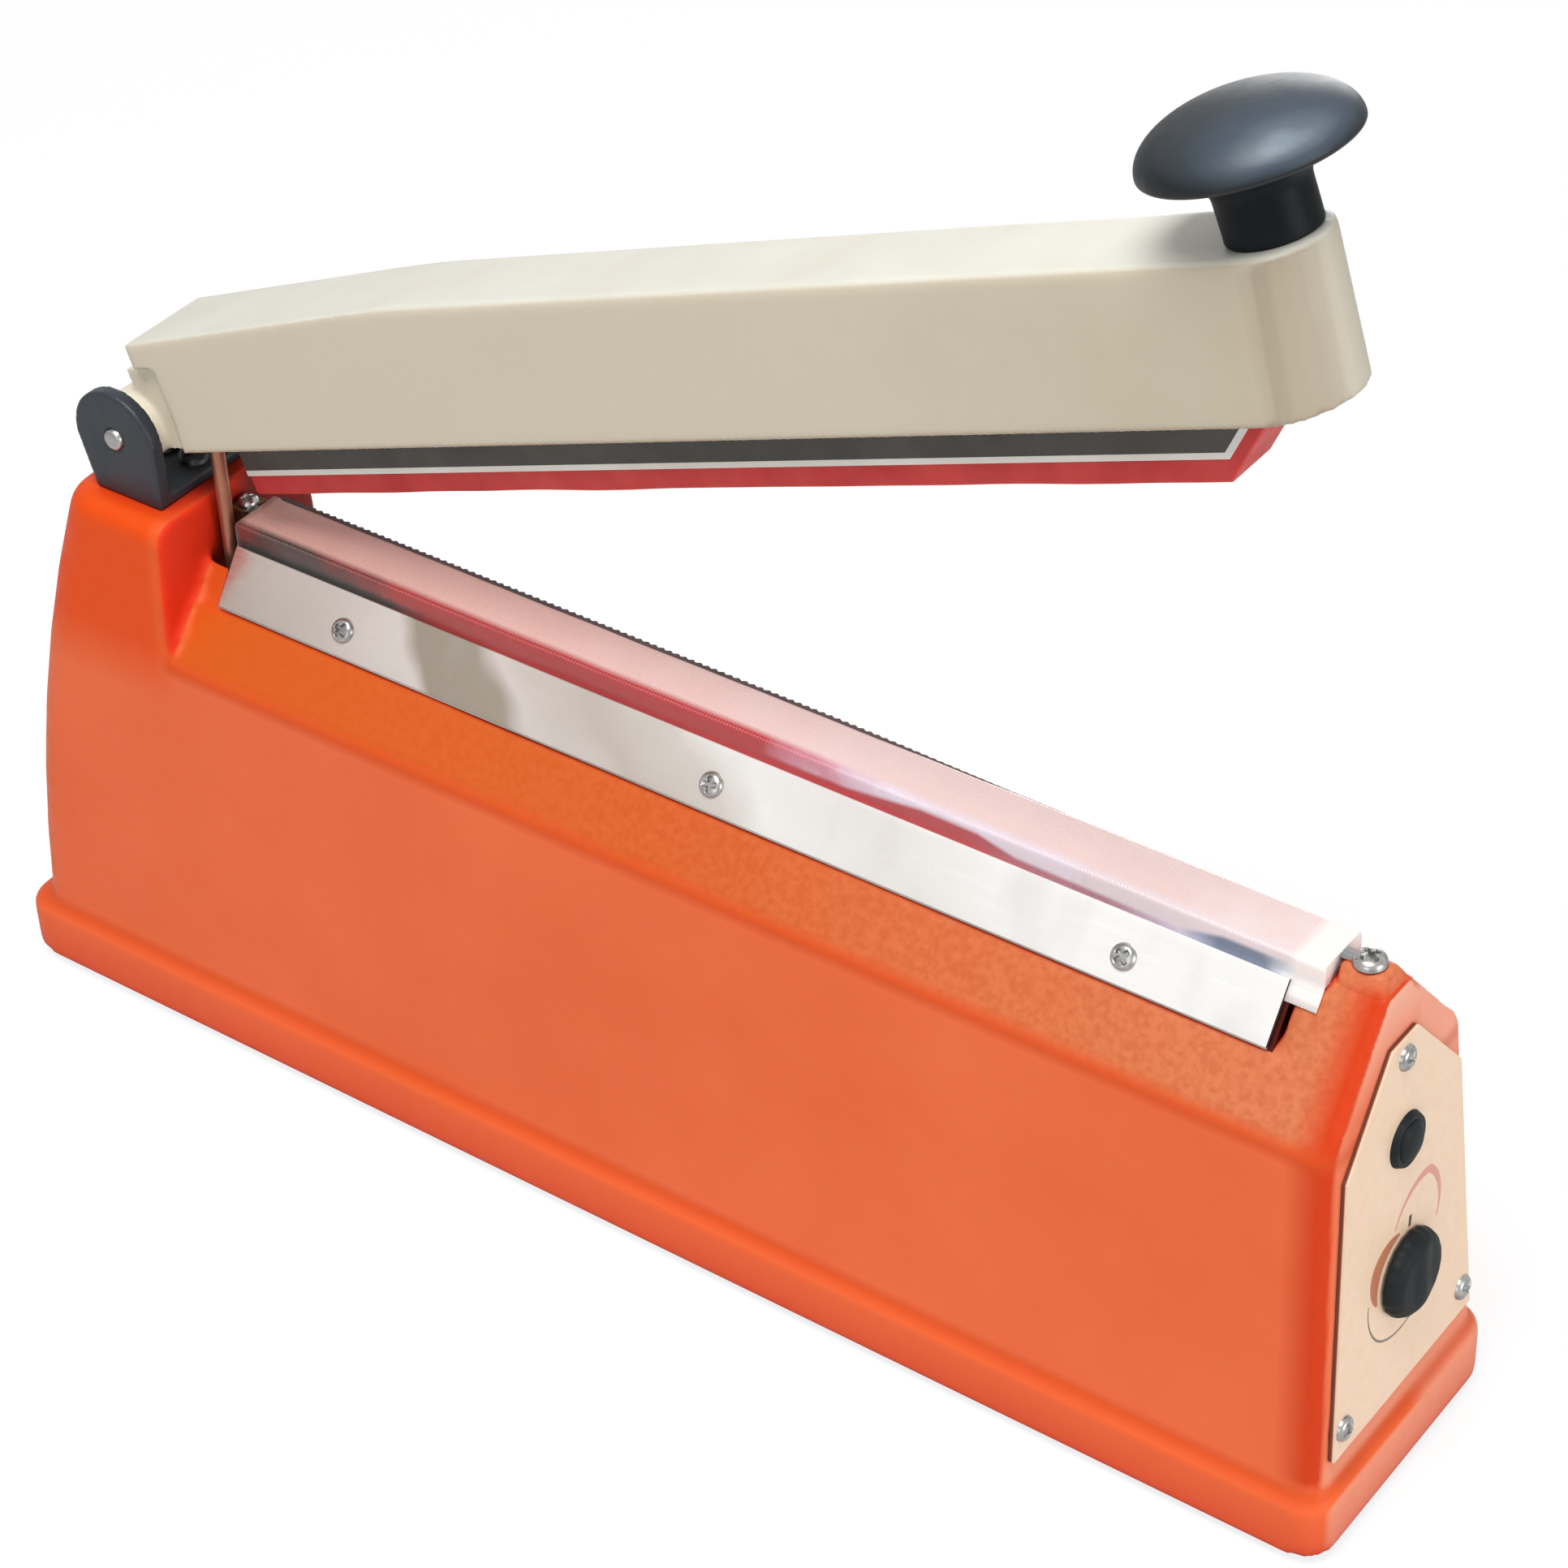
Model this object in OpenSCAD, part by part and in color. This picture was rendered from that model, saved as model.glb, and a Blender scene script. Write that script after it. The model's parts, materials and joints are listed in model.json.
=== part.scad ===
// Hand operated impulse sealer: a hollow casting with a heated jaw on its ridge,
// and a sprung press arm hinged on a shoulder at one end.
// Lengths are in millimetres. Inside standing() x runs from the hinge end of the flange
// and heights are taken from the underside of the flange.

/* [Casting] */
// Length of the base flange
body_l = 325; // [315:1:345]
// Depth of the base flange
body_w = 64; // [61:0.5:70]
// Height of the base flange
flange_h = 13.5; // [12:0.5:16]
// Step from the flange edge in to the wall
flange_step = 2.2; // [2:0.1:3]
// Plan radius of the flange corners
flange_r = 6; // [5:0.5:9]
// Radius of the flange's top edge
flange_edge = 1.8; // [0.8:0.1:1.9]
// Height of the walls from the flange up to the crease
wall_h = 75.5; // [72:0.5:79]
// Width of the casting at the crease
crease_w = 48.4; // [47:0.2:51]
// Rise of the roof slopes from the crease to where they would meet
roof_rise = 29; // [27:0.5:31]
// Radius of the rounded roof apex
apex_r = 6; // [5:0.5:7]
// Wall thickness of the casting
shell_t = 3; // [2.5:0.1:3.5]
// How far the control end leans in over the height of the walls
end_lean = 3.8; // [2.5:0.1:5]
// Plan radius of the upright corners at the control end
corner_r = 4; // [4:0.5:6]
// Radius of the screw bosses for the bottom plate
boss_r = 4; // [3.5:0.1:4.5]
// Height of the screw bosses
boss_h = 24; // [16:1:30]

/* [Hinge shoulder] */
// Length of the shoulder from the flange end to its step face
shoulder_l = 49; // [48:0.5:50]
// Rise of the shoulder's top above the jaw's seat
shoulder_rise = 20.5; // [19:0.5:22]
// How far the hinge end curves in at the shoulder's top
shoulder_lean = 19; // [15:0.5:19.5]
// Plan radius of the upright corners at the hinge end
shoulder_r = 9; // [7:0.5:11]
// Radius of the shoulder's top edge
shoulder_edge = 3.5; // [2:0.5:4]

/* [Base] */
// Thickness of the bottom plate
plate_t = 1.5; // [1.2:0.1:2]
// Rim of the flange left round the bottom plate
plate_rim = 3; // [2.5:0.1:4]
// How far the rubber feet stand below the flange
foot_proud = 2; // [1.5:0.1:4]
// Radius of a rubber foot
foot_r = 7; // [5:0.5:8]
// Distance of the feet from the flange ends
foot_inset = 29; // [28:0.5:34]
// Distance of the feet from the middle line
foot_y = 19; // [16:0.5:20]
// Radius of the mains cord's bore in its gland
cord_r = 3.2; // [2.5:0.1:3.5]

/* [Jaw] */
// Depth of the jaw's flat seat below where the roof slopes would meet
seat_drop = 17.5; // [16:0.1:19]
// Length of the end block between the seat and the flange's control end
end_block_l = 18.4; // [16:0.1:24]
// Gap between the shoulder and the jaw bar
jaw_gap = 6; // [5.6:0.1:8]
// Gap between the jaw bar and the end block
jaw_end_gap = 5.6; // [5:0.1:8]
// Height of the jaw bar
jaw_h = 11; // [10:0.1:12]
// Rim of the seat left beside the jaw bar's foot
seat_rim = 0.6; // [0.3:0.1:1.5]
// Width of the jaw bar's top and of the insulating strip
jaw_top_w = 12; // [11:0.1:13]
// Height of the insulating strip
insulator_h = 4.6; // [4:0.1:5.5]
// Width of the heating wire
wire_w = 3; // [2:0.1:4]
// Thickness of the heating wire
wire_t = 0.3; // [0.2:0.05:0.5]
// Thickness of the non-stick cover sheet
cover_t = 0.3; // [0.2:0.05:0.5]
// Length of the cover sheet that shows past each end of the clamp strips
cover_tab = 6.2; // [2:0.1:6.4]
// How far the cover sheet goes down under the clamp strips
cover_flap = 4.4; // [3:0.1:4.8]
// How much shorter the clamp strips are than the jaw bar
clamp_short = 2; // [1:0.5:8]
// Width of the clamp strips
clamp_w = 12.8; // [11:0.1:13]
// Thickness of the clamp strips
clamp_t = 0.8; // [0.5:0.1:1.2]

/* [Arm] */
// Distance of the hinge pin back from the shoulder's step face
pivot_back = 14.5; // [13.5:0.1:15]
// Angle that the arm stands open at rest
open_a = 20.4; // [15:0.2:22]
// Radius of the hinge pin
pin_r = 2.25; // [1.75:0.05:2.5]
// Distance from the hinge pin to the arm's open end of the hinge
arm_rear = 8; // [7:0.1:9]
// Distance of the press knob past the pressure bar's lower end
knob_past = 15.5; // [13:0.5:25]
// Depth of the arm below the hinge pin
arm_below = 5.6; // [5:0.1:5.8]
// Height of the arm above the hinge pin
arm_above = 22.7; // [21:0.1:26]
// Width of the arm at its lower edge
arm_low_w = 24.4; // [23.5:0.1:25]
// Width of the arm at its top
arm_top_w = 22; // [21.5:0.1:23.4]
// Wall thickness of the arm
arm_t = 2.2; // [1.8:0.1:2.4]
// Radius of the arm's top edge
arm_edge = 1.5; // [1:0.1:2]
// Distance from the hinge pin to where the arm's top starts to fall
arm_fall_u = 85; // [60:1:120]
// How far the arm's top falls at the hinge end
arm_fall = 4.7; // [2:0.1:6]
// Distance from the hinge pin to the notch in the arm's side walls
notch_u = 14; // [13:0.1:15]
// Height of that notch above the hinge pin
notch_h = 12.6; // [12.4:0.1:13.5]
// Distance of the pressure bar's top below the hinge pin
bar_drop = 6; // [5.9:0.1:6.4]
// Height of the pressure bar
bar_h = 6; // [5:0.1:8]
// Width of the pressure bar
bar_w = 14; // [12:0.1:16]
// Start of the pressure bar from the hinge pin
bar_start = 24; // [22.5:0.1:26]
// How far the pressure bar's lower face stops short of the jaw bar
bar_short = 5; // [3:0.5:12]
// Thickness of the white backing strip
backing_t = 1.2; // [0.8:0.1:1.6]
// Thickness of the silicone strip
silicone_t = 4.6; // [3.5:0.1:5.5]
// Width of the silicone strip
silicone_w = 13; // [10:0.1:14]

/* [Press knob] */
// Radius of the knob's cap
cap_r = 19; // [16:0.5:23]
// Height of the cap's rim above the arm
cap_rim_h = 15; // [12:0.5:18]
// Height of the cap's dome above its rim
cap_dome = 9; // [6:0.5:12]
// Radius of the knob's stem at the arm
stem_r = 9; // [7.5:0.1:10]
// Radius of the knob's stem at its neck
neck_r = 8.2; // [6.5:0.1:8.4]

/* [Hinge bracket] */
// Radius of the bracket's rounded ears
ear_r = 10.5; // [9.5:0.1:10.5]
// Reach of the ears' foot past the hinge pin, on the side away from the jaw
ear_foot = 7; // [6.8:0.1:8.5]
// Thickness of an ear
ear_t = 3; // [2:0.1:3.5]
// Clear width between the ears
ear_gap = 26; // [25.8:0.1:27]
// Thickness of the bracket's base
bracket_t = 2.5; // [2:0.1:3]

/* [Trigger] */
// Distance of the trigger rod from the shoulder's step face
rod_clear = 2.8; // [2.7:0.1:3]
// Distance of the trigger rod from the middle line, towards the front
rod_y = 5; // [4.5:0.1:5.5]
// Radius of the trigger rod
rod_r = 1.5; // [1.2:0.05:1.6]
// Depth of the spring's seat below the jaw's seat
guide_drop = 36.5; // [32:0.5:40]
// Radius of the return spring at the middle of its wire
spring_r = 3.4; // [3:0.1:3.8]
// Radius of the return spring's wire
spring_wire_r = 0.5; // [0.4:0.05:0.6]
// Turns of the return spring
spring_turns = 7; // [5:1:9]
// Depth of the microswitch lever's pivot below the spring's seat
lever_drop = 15.5; // [14:0.5:18]
// Distance from the lever's pivot to the trigger rod
lever_reach = 28; // [26:0.5:29]
// Thickness of the lever
lever_t = 0.8; // [0.6:0.1:1]

/* [Controls] */
// Thickness of the end panel
panel_t = 1.2; // [0.8:0.1:1.5]
// Rim of the end face left beside the panel
panel_rim = 4; // [3.5:0.1:5]
// Rim of the end face left above the panel, along the roof
panel_roof_rim = 6.6; // [4:0.1:7]
// Rim of the end face left between the panel and the flange
panel_foot_rim = 7.5; // [4:0.1:9]
// Width of the panel's top edge
panel_top_w = 9; // [7:0.5:12]
// Height of the timer knob above the flange
timer_rise = 35; // [33:0.5:37]
// Radius of the timer knob
timer_r = 8.8; // [7:0.1:9.2]
// Height of the timer knob
timer_t = 5; // [4.2:0.1:7]
// Height of the push button above the timer knob
button_rise = 31; // [28:0.5:32]
// Radius of the push button
button_r = 4; // [3.5:0.1:4.3]
// How far the push button stands proud of its bezel
button_proud = 2; // [1.9:0.1:3]
// Travel of the push button
button_travel = 1.6; // [1:0.1:1.8]

/* [Transformer] */
// Length of the transformer core
core_l = 66; // [60:1:75]
// Height of the transformer core
core_h = 55; // [50:1:62]
// Stack of the transformer core
core_w = 26; // [22:1:28]
// Width of the core's outer limbs
limb_w = 11; // [9:0.5:12]
// Distance of the transformer from the jaw's middle, towards the hinge
core_shift = 13; // [0:1:30]

/* [Hidden] */
$fn = 48;

// Clearances
fit = 0.05;
screw_fit = 0.1;
side_gap = 0.3;
touch_gap = 0.3;
seal_gap = 0.3;
cut = 1;

// Heights and slopes of the casting
crease_h = flange_h + wall_h;
apex_h = crease_h + roof_rise;
seat_h = apex_h - seat_drop;
shoulder_h = seat_h + shoulder_rise;
wall_slope = (body_w / 2 - flange_step - crease_w / 2) / (crease_h - flange_h);
end_slope = end_lean / (crease_h - flange_h);
end_a = atan(end_slope);
roof_a = atan((apex_h - crease_h) / (crease_w / 2));
apex_c = apex_h - apex_r / cos(roof_a);
corner_steps = 6;
wall_steps = 6;
arc_steps = 12;

// Jaw levels and slopes
seat_end = body_l - end_block_l;
jaw_start = shoulder_l + jaw_gap;
jaw_end = seat_end - jaw_end_gap;
jaw_l = jaw_end - jaw_start;
jaw_mid = jaw_start + jaw_l / 2;
jaw_foot_w = 2 * (seat_drop / tan(roof_a) - seat_rim);
jaw_top = seat_h + jaw_h;
wire_h = jaw_top + insulator_h - wire_t;
ridge_h = jaw_top + insulator_h + cover_t;
terminal_t = 2.6;
pad_h = wire_h - terminal_t;
slope_a = atan2(jaw_h, (jaw_foot_w - jaw_top_w) / 2);
slope_l = norm([jaw_h, (jaw_foot_w - jaw_top_w) / 2]);
clamp_s = (slope_l - clamp_w) / 2;
clamp_screw_s = slope_l * 0.41;
clamp_bite = 4.5;
clamp_l = jaw_l - clamp_short;
clamp_start = jaw_mid - clamp_l / 2;
clamp_x = [for (i = [-1 : 1]) jaw_mid + i * jaw_l * 0.37];
jaw_screw_x = [for (s = [-1, 1]) jaw_mid + s * jaw_l * 0.245];
jaw_screw_bite = 6;
terminal_l = 4.6;
terminal_w = 6;
terminal_y = 1.6;
terminal_stud_l = 5;
terminal_screw_l = 5;
rod_x = shoulder_l + rod_clear;
left_terminal_x = rod_x;
right_terminal_x = seat_end + 5;
right_terminal_l = 8.8;
right_terminal_w = 6.8;

// Arm places and levels, all from the hinge pin
pivot_x = shoulder_l - pivot_back;
bar_end = jaw_end - pivot_x - bar_short;
knob_u = bar_end + knob_past;
bar_low = bar_drop + bar_h;
pivot_h = ridge_h + seal_gap + silicone_t + backing_t + bar_low;
pad_drop = bar_drop;
block_w = arm_top_w - 2 * arm_t;
block_top = notch_h - 0.6;
block_l = 42;
hub_r = 7.5;
pin_proud = 0.8;
block_rear = 5;
block_screw_u = [block_l - 15, block_l - 5];
block_bite = 3.5;
bar_screw_u = [for (i = [0 : 2]) bar_start + (bar_end - bar_start) * (0.2 + 0.3 * i)];
bar_bite = 11;
bore_spare = 1;
head_sink = 0.3;
post_r = 4;
stud_r = 3;
stud_head_r = 5.5;
stud_head_t = 4;
cap_top = cap_rim_h + cap_dome;

// Trigger levels
guide_h = seat_h - guide_drop;
lever_h = guide_h - lever_drop;
function rod_tip(a) =
    pivot_h + ((rod_x - pivot_x) * sin(a) - pad_drop - rod_r - touch_gap) / cos(a);
rod_travel = rod_tip(open_a) - rod_tip(0);
lever_a = atan(rod_travel / 2 / lever_reach);
rod_foot = lever_h + lever_reach * tan(lever_a) + (lever_t / 2 + rod_r + touch_gap) / cos(lever_a);
lever_x = rod_x - lever_reach;
bush_r = 2.6;
bush_rim_r = 3.6;
bush_rim_t = 1.5;
bush_gap = 0.2;
bush_rim_w = bush_rim_r + rod_y + terminal_y - terminal_w / 2 - bush_gap;
bush_below = 1;
bush_foot = seat_h - shell_t - bush_below;
collar_r = 4.5;
collar_t = 4;
collar_h = bush_foot - touch_gap - collar_t;

// Microswitch and its bracket
switch_l = 27.8;
switch_w = 10.3;
switch_h = 15.9;
lever_clear = 4;
switch_top = lever_h - lever_clear;
switch_x = lever_x - switch_l * 0.07;
switch_hole_h = switch_top - switch_h * 0.63;
switch_hole_x = [switch_x + switch_l * 0.1, switch_x + switch_l * 0.9];
blade_w = 4.8;
blade_t = 0.8;
blade_l = 8;
lever_past = 6;
eye_r = 1.4;
lug_w = 3;
lug_gap = 6.6;
lug_t = 1.2;
lever_pin_r = 0.5;
web_y = -rod_y + switch_w / 2;
sheet_t = 1.5;
foot_flange = 15;
flange_half = 7;
bracket_foot_x = [switch_x + switch_l * 0.22, switch_x + switch_l * 0.86];

// Controls, all along the end face's normal
timer_h = flange_h + timer_rise;
button_h = timer_h + button_rise;
pot_r = 8.5;
pot_d = 10;
pot_neck_r = 3.5;
shaft_r = 3;
nut_t = 2;
nut_r = 5.5;
rib_inset = 1.2;
rib_proud = 1;
board_t = 1.6;
board_h = 44;
board_gap = 3.68;
board_w = 2 * (half_w(timer_h + board_h / 2) - shell_t - board_gap);
relay_l = 19;
relay_w = 15;
relay_t = 15;
can_r = 4;
can_l = 13;
neck_spare = 0.2;
shaft_bite = 1.8;
bezel_r = button_r + 1.6;
bezel_t = 1.2;
barrel_r = button_r + 0.8;
barrel_d = 18;
switch_nut_t = 4;
panel_screw_r = 1.3;

// Screws
bottom_bite = 12;
bracket_bite = 4;
panel_bite = 1;
m2_head_r = 2.6;
m2_head_t = 1.3;
m3_r = 1.5;
m3_head_r = 3;
m3_head_t = 1.3;
m4_r = 2;
m4_head_r = 3.5;
m4_head_t = 2;

// Base
boss_inset = 14;
boss_sink = 0.8;
core_x = jaw_mid - core_shift;
boss_spots = [
    for (x = [boss_inset, body_l - boss_inset], s = [-1, 1])
        [x, s * (body_w / 2 - flange_step - shell_t - boss_r + boss_sink)]
];
foot_spots = [for (x = [foot_inset, body_l - foot_inset], s = [-1, 1]) [x, s * foot_y]];
gland_h = plate_t + (flange_h - plate_t) / 2;
gland_r = cord_r + 1.3;
gland_rim_t = 1.5;
gland_wall = flange_step + shell_t;
strap_t = 1;
strap_foot = 12;
strap_w = 18;
coil_wall = 8.5;
coil_gap = 0.3;

// Half width of the casting's walls at a height
function half_w(h) = body_w / 2 - flange_step - (max(h, flange_h) - flange_h) * wall_slope;

// Control end of the casting at a height
function end_x(h) = body_l - flange_step - (max(h, flange_h) - flange_h) * end_slope;

// Hinge end of the casting at a height
function hinge_x(h) =
    flange_step + shoulder_lean * pow((max(h, flange_h) - flange_h) / (shoulder_h - flange_h), 2);

// Height of the roof at a distance from the middle line
function roof_h(y) = apex_h - abs(y) * tan(roof_a);

// Half width of the arm at a height from the hinge pin
function arm_half_w(v) =
    (arm_low_w + (arm_top_w - arm_low_w) * (v + arm_below) / (arm_below + arm_above)) / 2;

// Height of the arm's top at a distance from the hinge pin
function arm_top(u) = arm_above - max(arm_fall_u - u, 0) * arm_fall / (arm_fall_u - arm_rear);

// One rounded corner of a ring, from angle a on
function corner(x, y, r, a, z) = [
    for (i = [0 : corner_steps])
        let (t = a + i * 90 / corner_steps)
            [x + r * cos(t), y + r * sin(t), z]
];

// A level ring from x0 to x1, with corner radius r0 at x0 and r1 at x1
function ring(x0, x1, hw, r0, r1, z) = concat(
    corner(x0 + r0, -hw + r0, r0, 180, z),
    corner(x1 - r1, -hw + r1, r1, 270, z),
    corner(x1 - r1, hw - r1, r1, 0, z),
    corner(x0 + r0, hw - r0, r0, 90, z)
);

// Rings of the flange, with its rounded top edge
function flange_rings() = concat(
    [ring(0, body_l, body_w / 2, flange_r, flange_r, 0)],
    [
        for (a = [0 : 30 : 90])
            let (i = flange_edge * (1 - cos(a)))
                ring(i, body_l - i, body_w / 2 - i, flange_r - i, flange_r - i,
                     flange_h - flange_edge * (1 - sin(a)))
    ]
);

// One ring of the walls, drawn in from the outer face
function wall_ring(h, inset) = ring(
    hinge_x(h) + inset, end_x(h) - inset, half_w(h) - inset,
    max(shoulder_r - inset, 0.4), max(corner_r - inset, 0.4), h
);

// Rings of the walls up to the shoulder's rounded top edge
function wall_rings(inset) =
    let (edge = shoulder_edge, top = shoulder_h - inset)
    concat(
        inset > 0 ? [wall_ring(-cut, inset)] : [],
        [
            for (i = [0 : wall_steps])
                wall_ring(flange_h + i * (top - edge - flange_h) / wall_steps, inset)
        ],
        [
            for (a = [30 : 30 : 90])
                wall_ring(top - edge * (1 - sin(a)), inset + edge * (1 - cos(a)))
        ]
    );

// Rings of the arm, closed at its top
function arm_rings(inset) =
    let (low = inset > 0 ? -arm_below - cut : -arm_below, top = arm_above - inset)
    concat(
        [for (v = [low, top - arm_edge]) arm_ring(v, inset)],
        [
            for (a = [30 : 30 : 90])
                arm_ring(top - arm_edge * (1 - sin(a)), inset + arm_edge * (1 - cos(a)))
        ]
    );

// One ring of the arm, round at its knob end
function arm_ring(v, inset) =
    let (hw = arm_half_w(v) - inset)
    ring(arm_rear + inset, knob_u + hw, hw, 0.6, hw - 0.01, v);

// Solid through a stack of rings of equal length
module loft(rings) {
    n = len(rings[0]);
    last = len(rings) - 1;
    sides = [
        for (i = [0 : last - 1], j = [0 : n - 1])
            let (a = i * n + j, b = i * n + (j + 1) % n)
                each [[a, a + n, b + n], [a, b + n, b]]
    ];
    bottom = [[for (j = [0 : n - 1]) j]];
    top = [[for (j = [n - 1 : -1 : 0]) last * n + j]];
    polyhedron([for (r = rings) each r], concat(bottom, sides, top));
}

// Middle of the whole object between the cord gland and the timer knob's rib
function middle_x() =
    (end_x(timer_h) + (timer_r - rib_inset) * sin(end_a)
     + (panel_t + touch_gap + timer_t + rib_proud) * cos(end_a) - gland_rim_t) / 2;

// The frame described at the top of this file, put under the middle of the object
module standing() {
    translate([-middle_x(), 0, foot_proud]) children();
}

// Frame of the arm: x along it from the hinge pin, z up from the pin, at the open angle
module on_arm() {
    standing() translate([pivot_x, 0, pivot_h]) rotate([0, -open_a, 0]) children();
}

// Frame on the control end: z along the end face's outward normal, x down the face
module at_end(y, h) {
    standing() translate([end_x(h), y, h]) rotate([0, 90 - end_a, 0]) children();
}

// Frame on the jaw bar's front slope: y up the slope, z along its outward normal
module on_front_slope() {
    standing() translate([0, -jaw_foot_w / 2, seat_h]) rotate([slope_a, 0, 0]) children();
}

// The same frame on the rear slope
module on_rear_slope() {
    mirror([0, 1, 0]) on_front_slope() children();
}

// Flat plate with rounded corners
module slab(x0, x1, w, r, h) {
    translate([x0 + r, -w / 2, 0]) cube([x1 - x0 - 2 * r, w, h]);
    translate([x0, -w / 2 + r, 0]) cube([x1 - x0, w - 2 * r, h]);
    for (x = [x0 + r, x1 - r], y = [-w / 2 + r, w / 2 - r])
        translate([x, y, 0]) cylinder(r = r, h = h);
}

// Pan head screw with its head above z = 0
module pan_screw(r, l, head_r, head_t) {
    translate([0, 0, -l]) cylinder(r = r, h = l);
    cylinder(r1 = head_r, r2 = head_r * 0.8, h = head_t);
}

// Cylinder along y, centred
module cross_cylinder(r, l) {
    rotate([90, 0, 0]) cylinder(r = r, h = l, center = true);
}

// Profile in x and z, extruded along y and centred
module side_extrude(w) {
    rotate([90, 0, 0]) linear_extrude(w, center = true) children();
}

// Outer form of the casting, or its hollow when drawn in by the wall
module casting_form(inset) {
    difference() {
        union() {
            loft(wall_rings(inset));
            if (inset == 0) loft(flange_rings());
        }
        roof_cut(inset);
        translate([shoulder_l - inset, -body_w, seat_h - inset])
            cube([seat_end - shoulder_l + 2 * inset, 2 * body_w, shoulder_h]);
        translate([seat_end - cut, -body_w, pad_h - inset])
            cube([body_l, 2 * body_w, shoulder_h]);
    }
}

// Space above the two roof slopes and their rounded apex
module roof_cut(inset) {
    drop = inset / cos(roof_a);
    far = body_w;
    translate([shoulder_l - inset, 0, 0]) rotate([90, 0, 90]) linear_extrude(body_l)
        polygon(concat(
            [[-far, roof_h(far) - drop]],
            [
                for (i = [0 : arc_steps])
                    let (a = 90 + roof_a - 2 * roof_a * i / arc_steps)
                        (apex_r - inset) * [cos(a), sin(a)] + [0, apex_c]
            ],
            [[far, roof_h(far) - drop], [far, 2 * shoulder_h], [-far, 2 * shoulder_h]]
        ));
}

module body_casting() {
    color("orangered") difference() {
        standing() difference() {
            union() {
                difference() {
                    casting_form(0);
                    casting_form(shell_t);
                }
                for (p = boss_spots)
                    translate([p.x, p.y, plate_t]) cylinder(r = boss_r, h = boss_h);
                jaw_sills();
            }
            translate([0, 0, -cut])
                slab(plate_rim, body_l - plate_rim, body_w - 2 * plate_rim,
                     flange_r - plate_rim, plate_t + cut);
            for (p = boss_spots)
                translate([p.x, p.y, 0]) cylinder(r = m3_r + screw_fit, h = boss_h);
            translate([-cut, 0, gland_h]) rotate([0, 90, 0])
                cylinder(r = gland_r + fit, h = gland_wall + 2 * cut);
            for (x = jaw_screw_x)
                translate([x, 0, seat_h - shell_t - cut])
                    cylinder(r = m4_r + screw_fit, h = shell_t + 2 * cut);
            translate([rod_x, -rod_y, seat_h - shell_t - cut])
                cylinder(r = bush_r + fit, h = shell_t + 2 * cut);
            left_terminal_place() translate([0, 0, -shell_t - cut])
                cylinder(r = m4_r + screw_fit, h = shell_t + 2 * cut);
            right_terminal_place() translate([0, 0, -shell_t - 2 * cut])
                cylinder(r = m3_r + screw_fit, h = shell_t + 3 * cut);
            for (x = bracket_screw_x())
                translate([x, 0, shoulder_h - shell_t - cut])
                    cylinder(r = m4_r + screw_fit, h = shell_t + 2 * cut);
        }
        end_holes(shell_t + cut);
    }
}

// Raised ends of the seat that carry the roof on past the jaw bar, open for the rod in the middle
module jaw_sills() {
    foot = jaw_foot_w / 2;
    inner = rod_y + bush_rim_r + side_gap;
    rise = jaw_h / (foot - jaw_top_w / 2);
    translate([jaw_end + side_gap, 0, 0]) rotate([90, 0, 90])
        linear_extrude(seat_end - jaw_end - side_gap + cut)
            polygon([
                [-foot, seat_h - cut], [foot, seat_h - cut],
                [jaw_top_w / 2, jaw_top - fit], [-jaw_top_w / 2, jaw_top - fit]
            ]);
    for (turn = [0, 180]) translate([shoulder_l + jaw_gap / 2 - side_gap / 2, 0, 0])
        rotate([0, 0, turn]) rotate([90, 0, 90])
            linear_extrude(jaw_gap - side_gap + cut, center = true)
                polygon([
                    [inner, seat_h - cut], [foot, seat_h - cut], [inner, seat_h + (foot - inner) * rise]
                ]);
}

// Bores through the control end for the panel's screws, timer and push button
module end_holes(depth) {
    at_end(0, timer_h) translate([0, 0, -depth])
        cylinder(r = pot_neck_r + fit, h = depth + panel_t + cut);
    at_end(0, button_h) translate([0, 0, -depth])
        cylinder(r = barrel_r + fit, h = depth + panel_t + cut);
    for (p = panel_screw_spots())
        at_end(p.x, p.y) translate([0, 0, -depth])
            cylinder(r = panel_screw_r + screw_fit, h = depth + panel_t + cut);
}

// The panel's three screws, as distance from the middle line and height
function panel_screw_spots() = [
    [0, panel_top_h() - 4.2],
    [-(half_w(flange_h) - panel_rim - 4), flange_h + panel_foot_rim + 6],
    [half_w(flange_h) - panel_rim - 4, flange_h + panel_foot_rim + 6]
];

// Height of the panel's top edge
function panel_top_h() = roof_h(panel_top_w / 2) - panel_roof_rim / cos(roof_a);

// The bracket's two screws
function bracket_screw_x() = [pivot_x + ear_r / 2 - m4_head_r * 2.4, pivot_x + ear_r / 2];

// Lean of the ears' rear edge, from their foot to where it touches their round top
function ear_foot_a() =
    90 - atan2(pivot_h - shoulder_h, ear_foot) - asin(ear_r / norm([ear_foot, pivot_h - shoulder_h]));

module left_terminal_place() {
    translate([left_terminal_x, terminal_y, seat_h]) children();
}

module right_terminal_place() {
    translate([right_terminal_x, 0, pad_h]) children();
}

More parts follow.
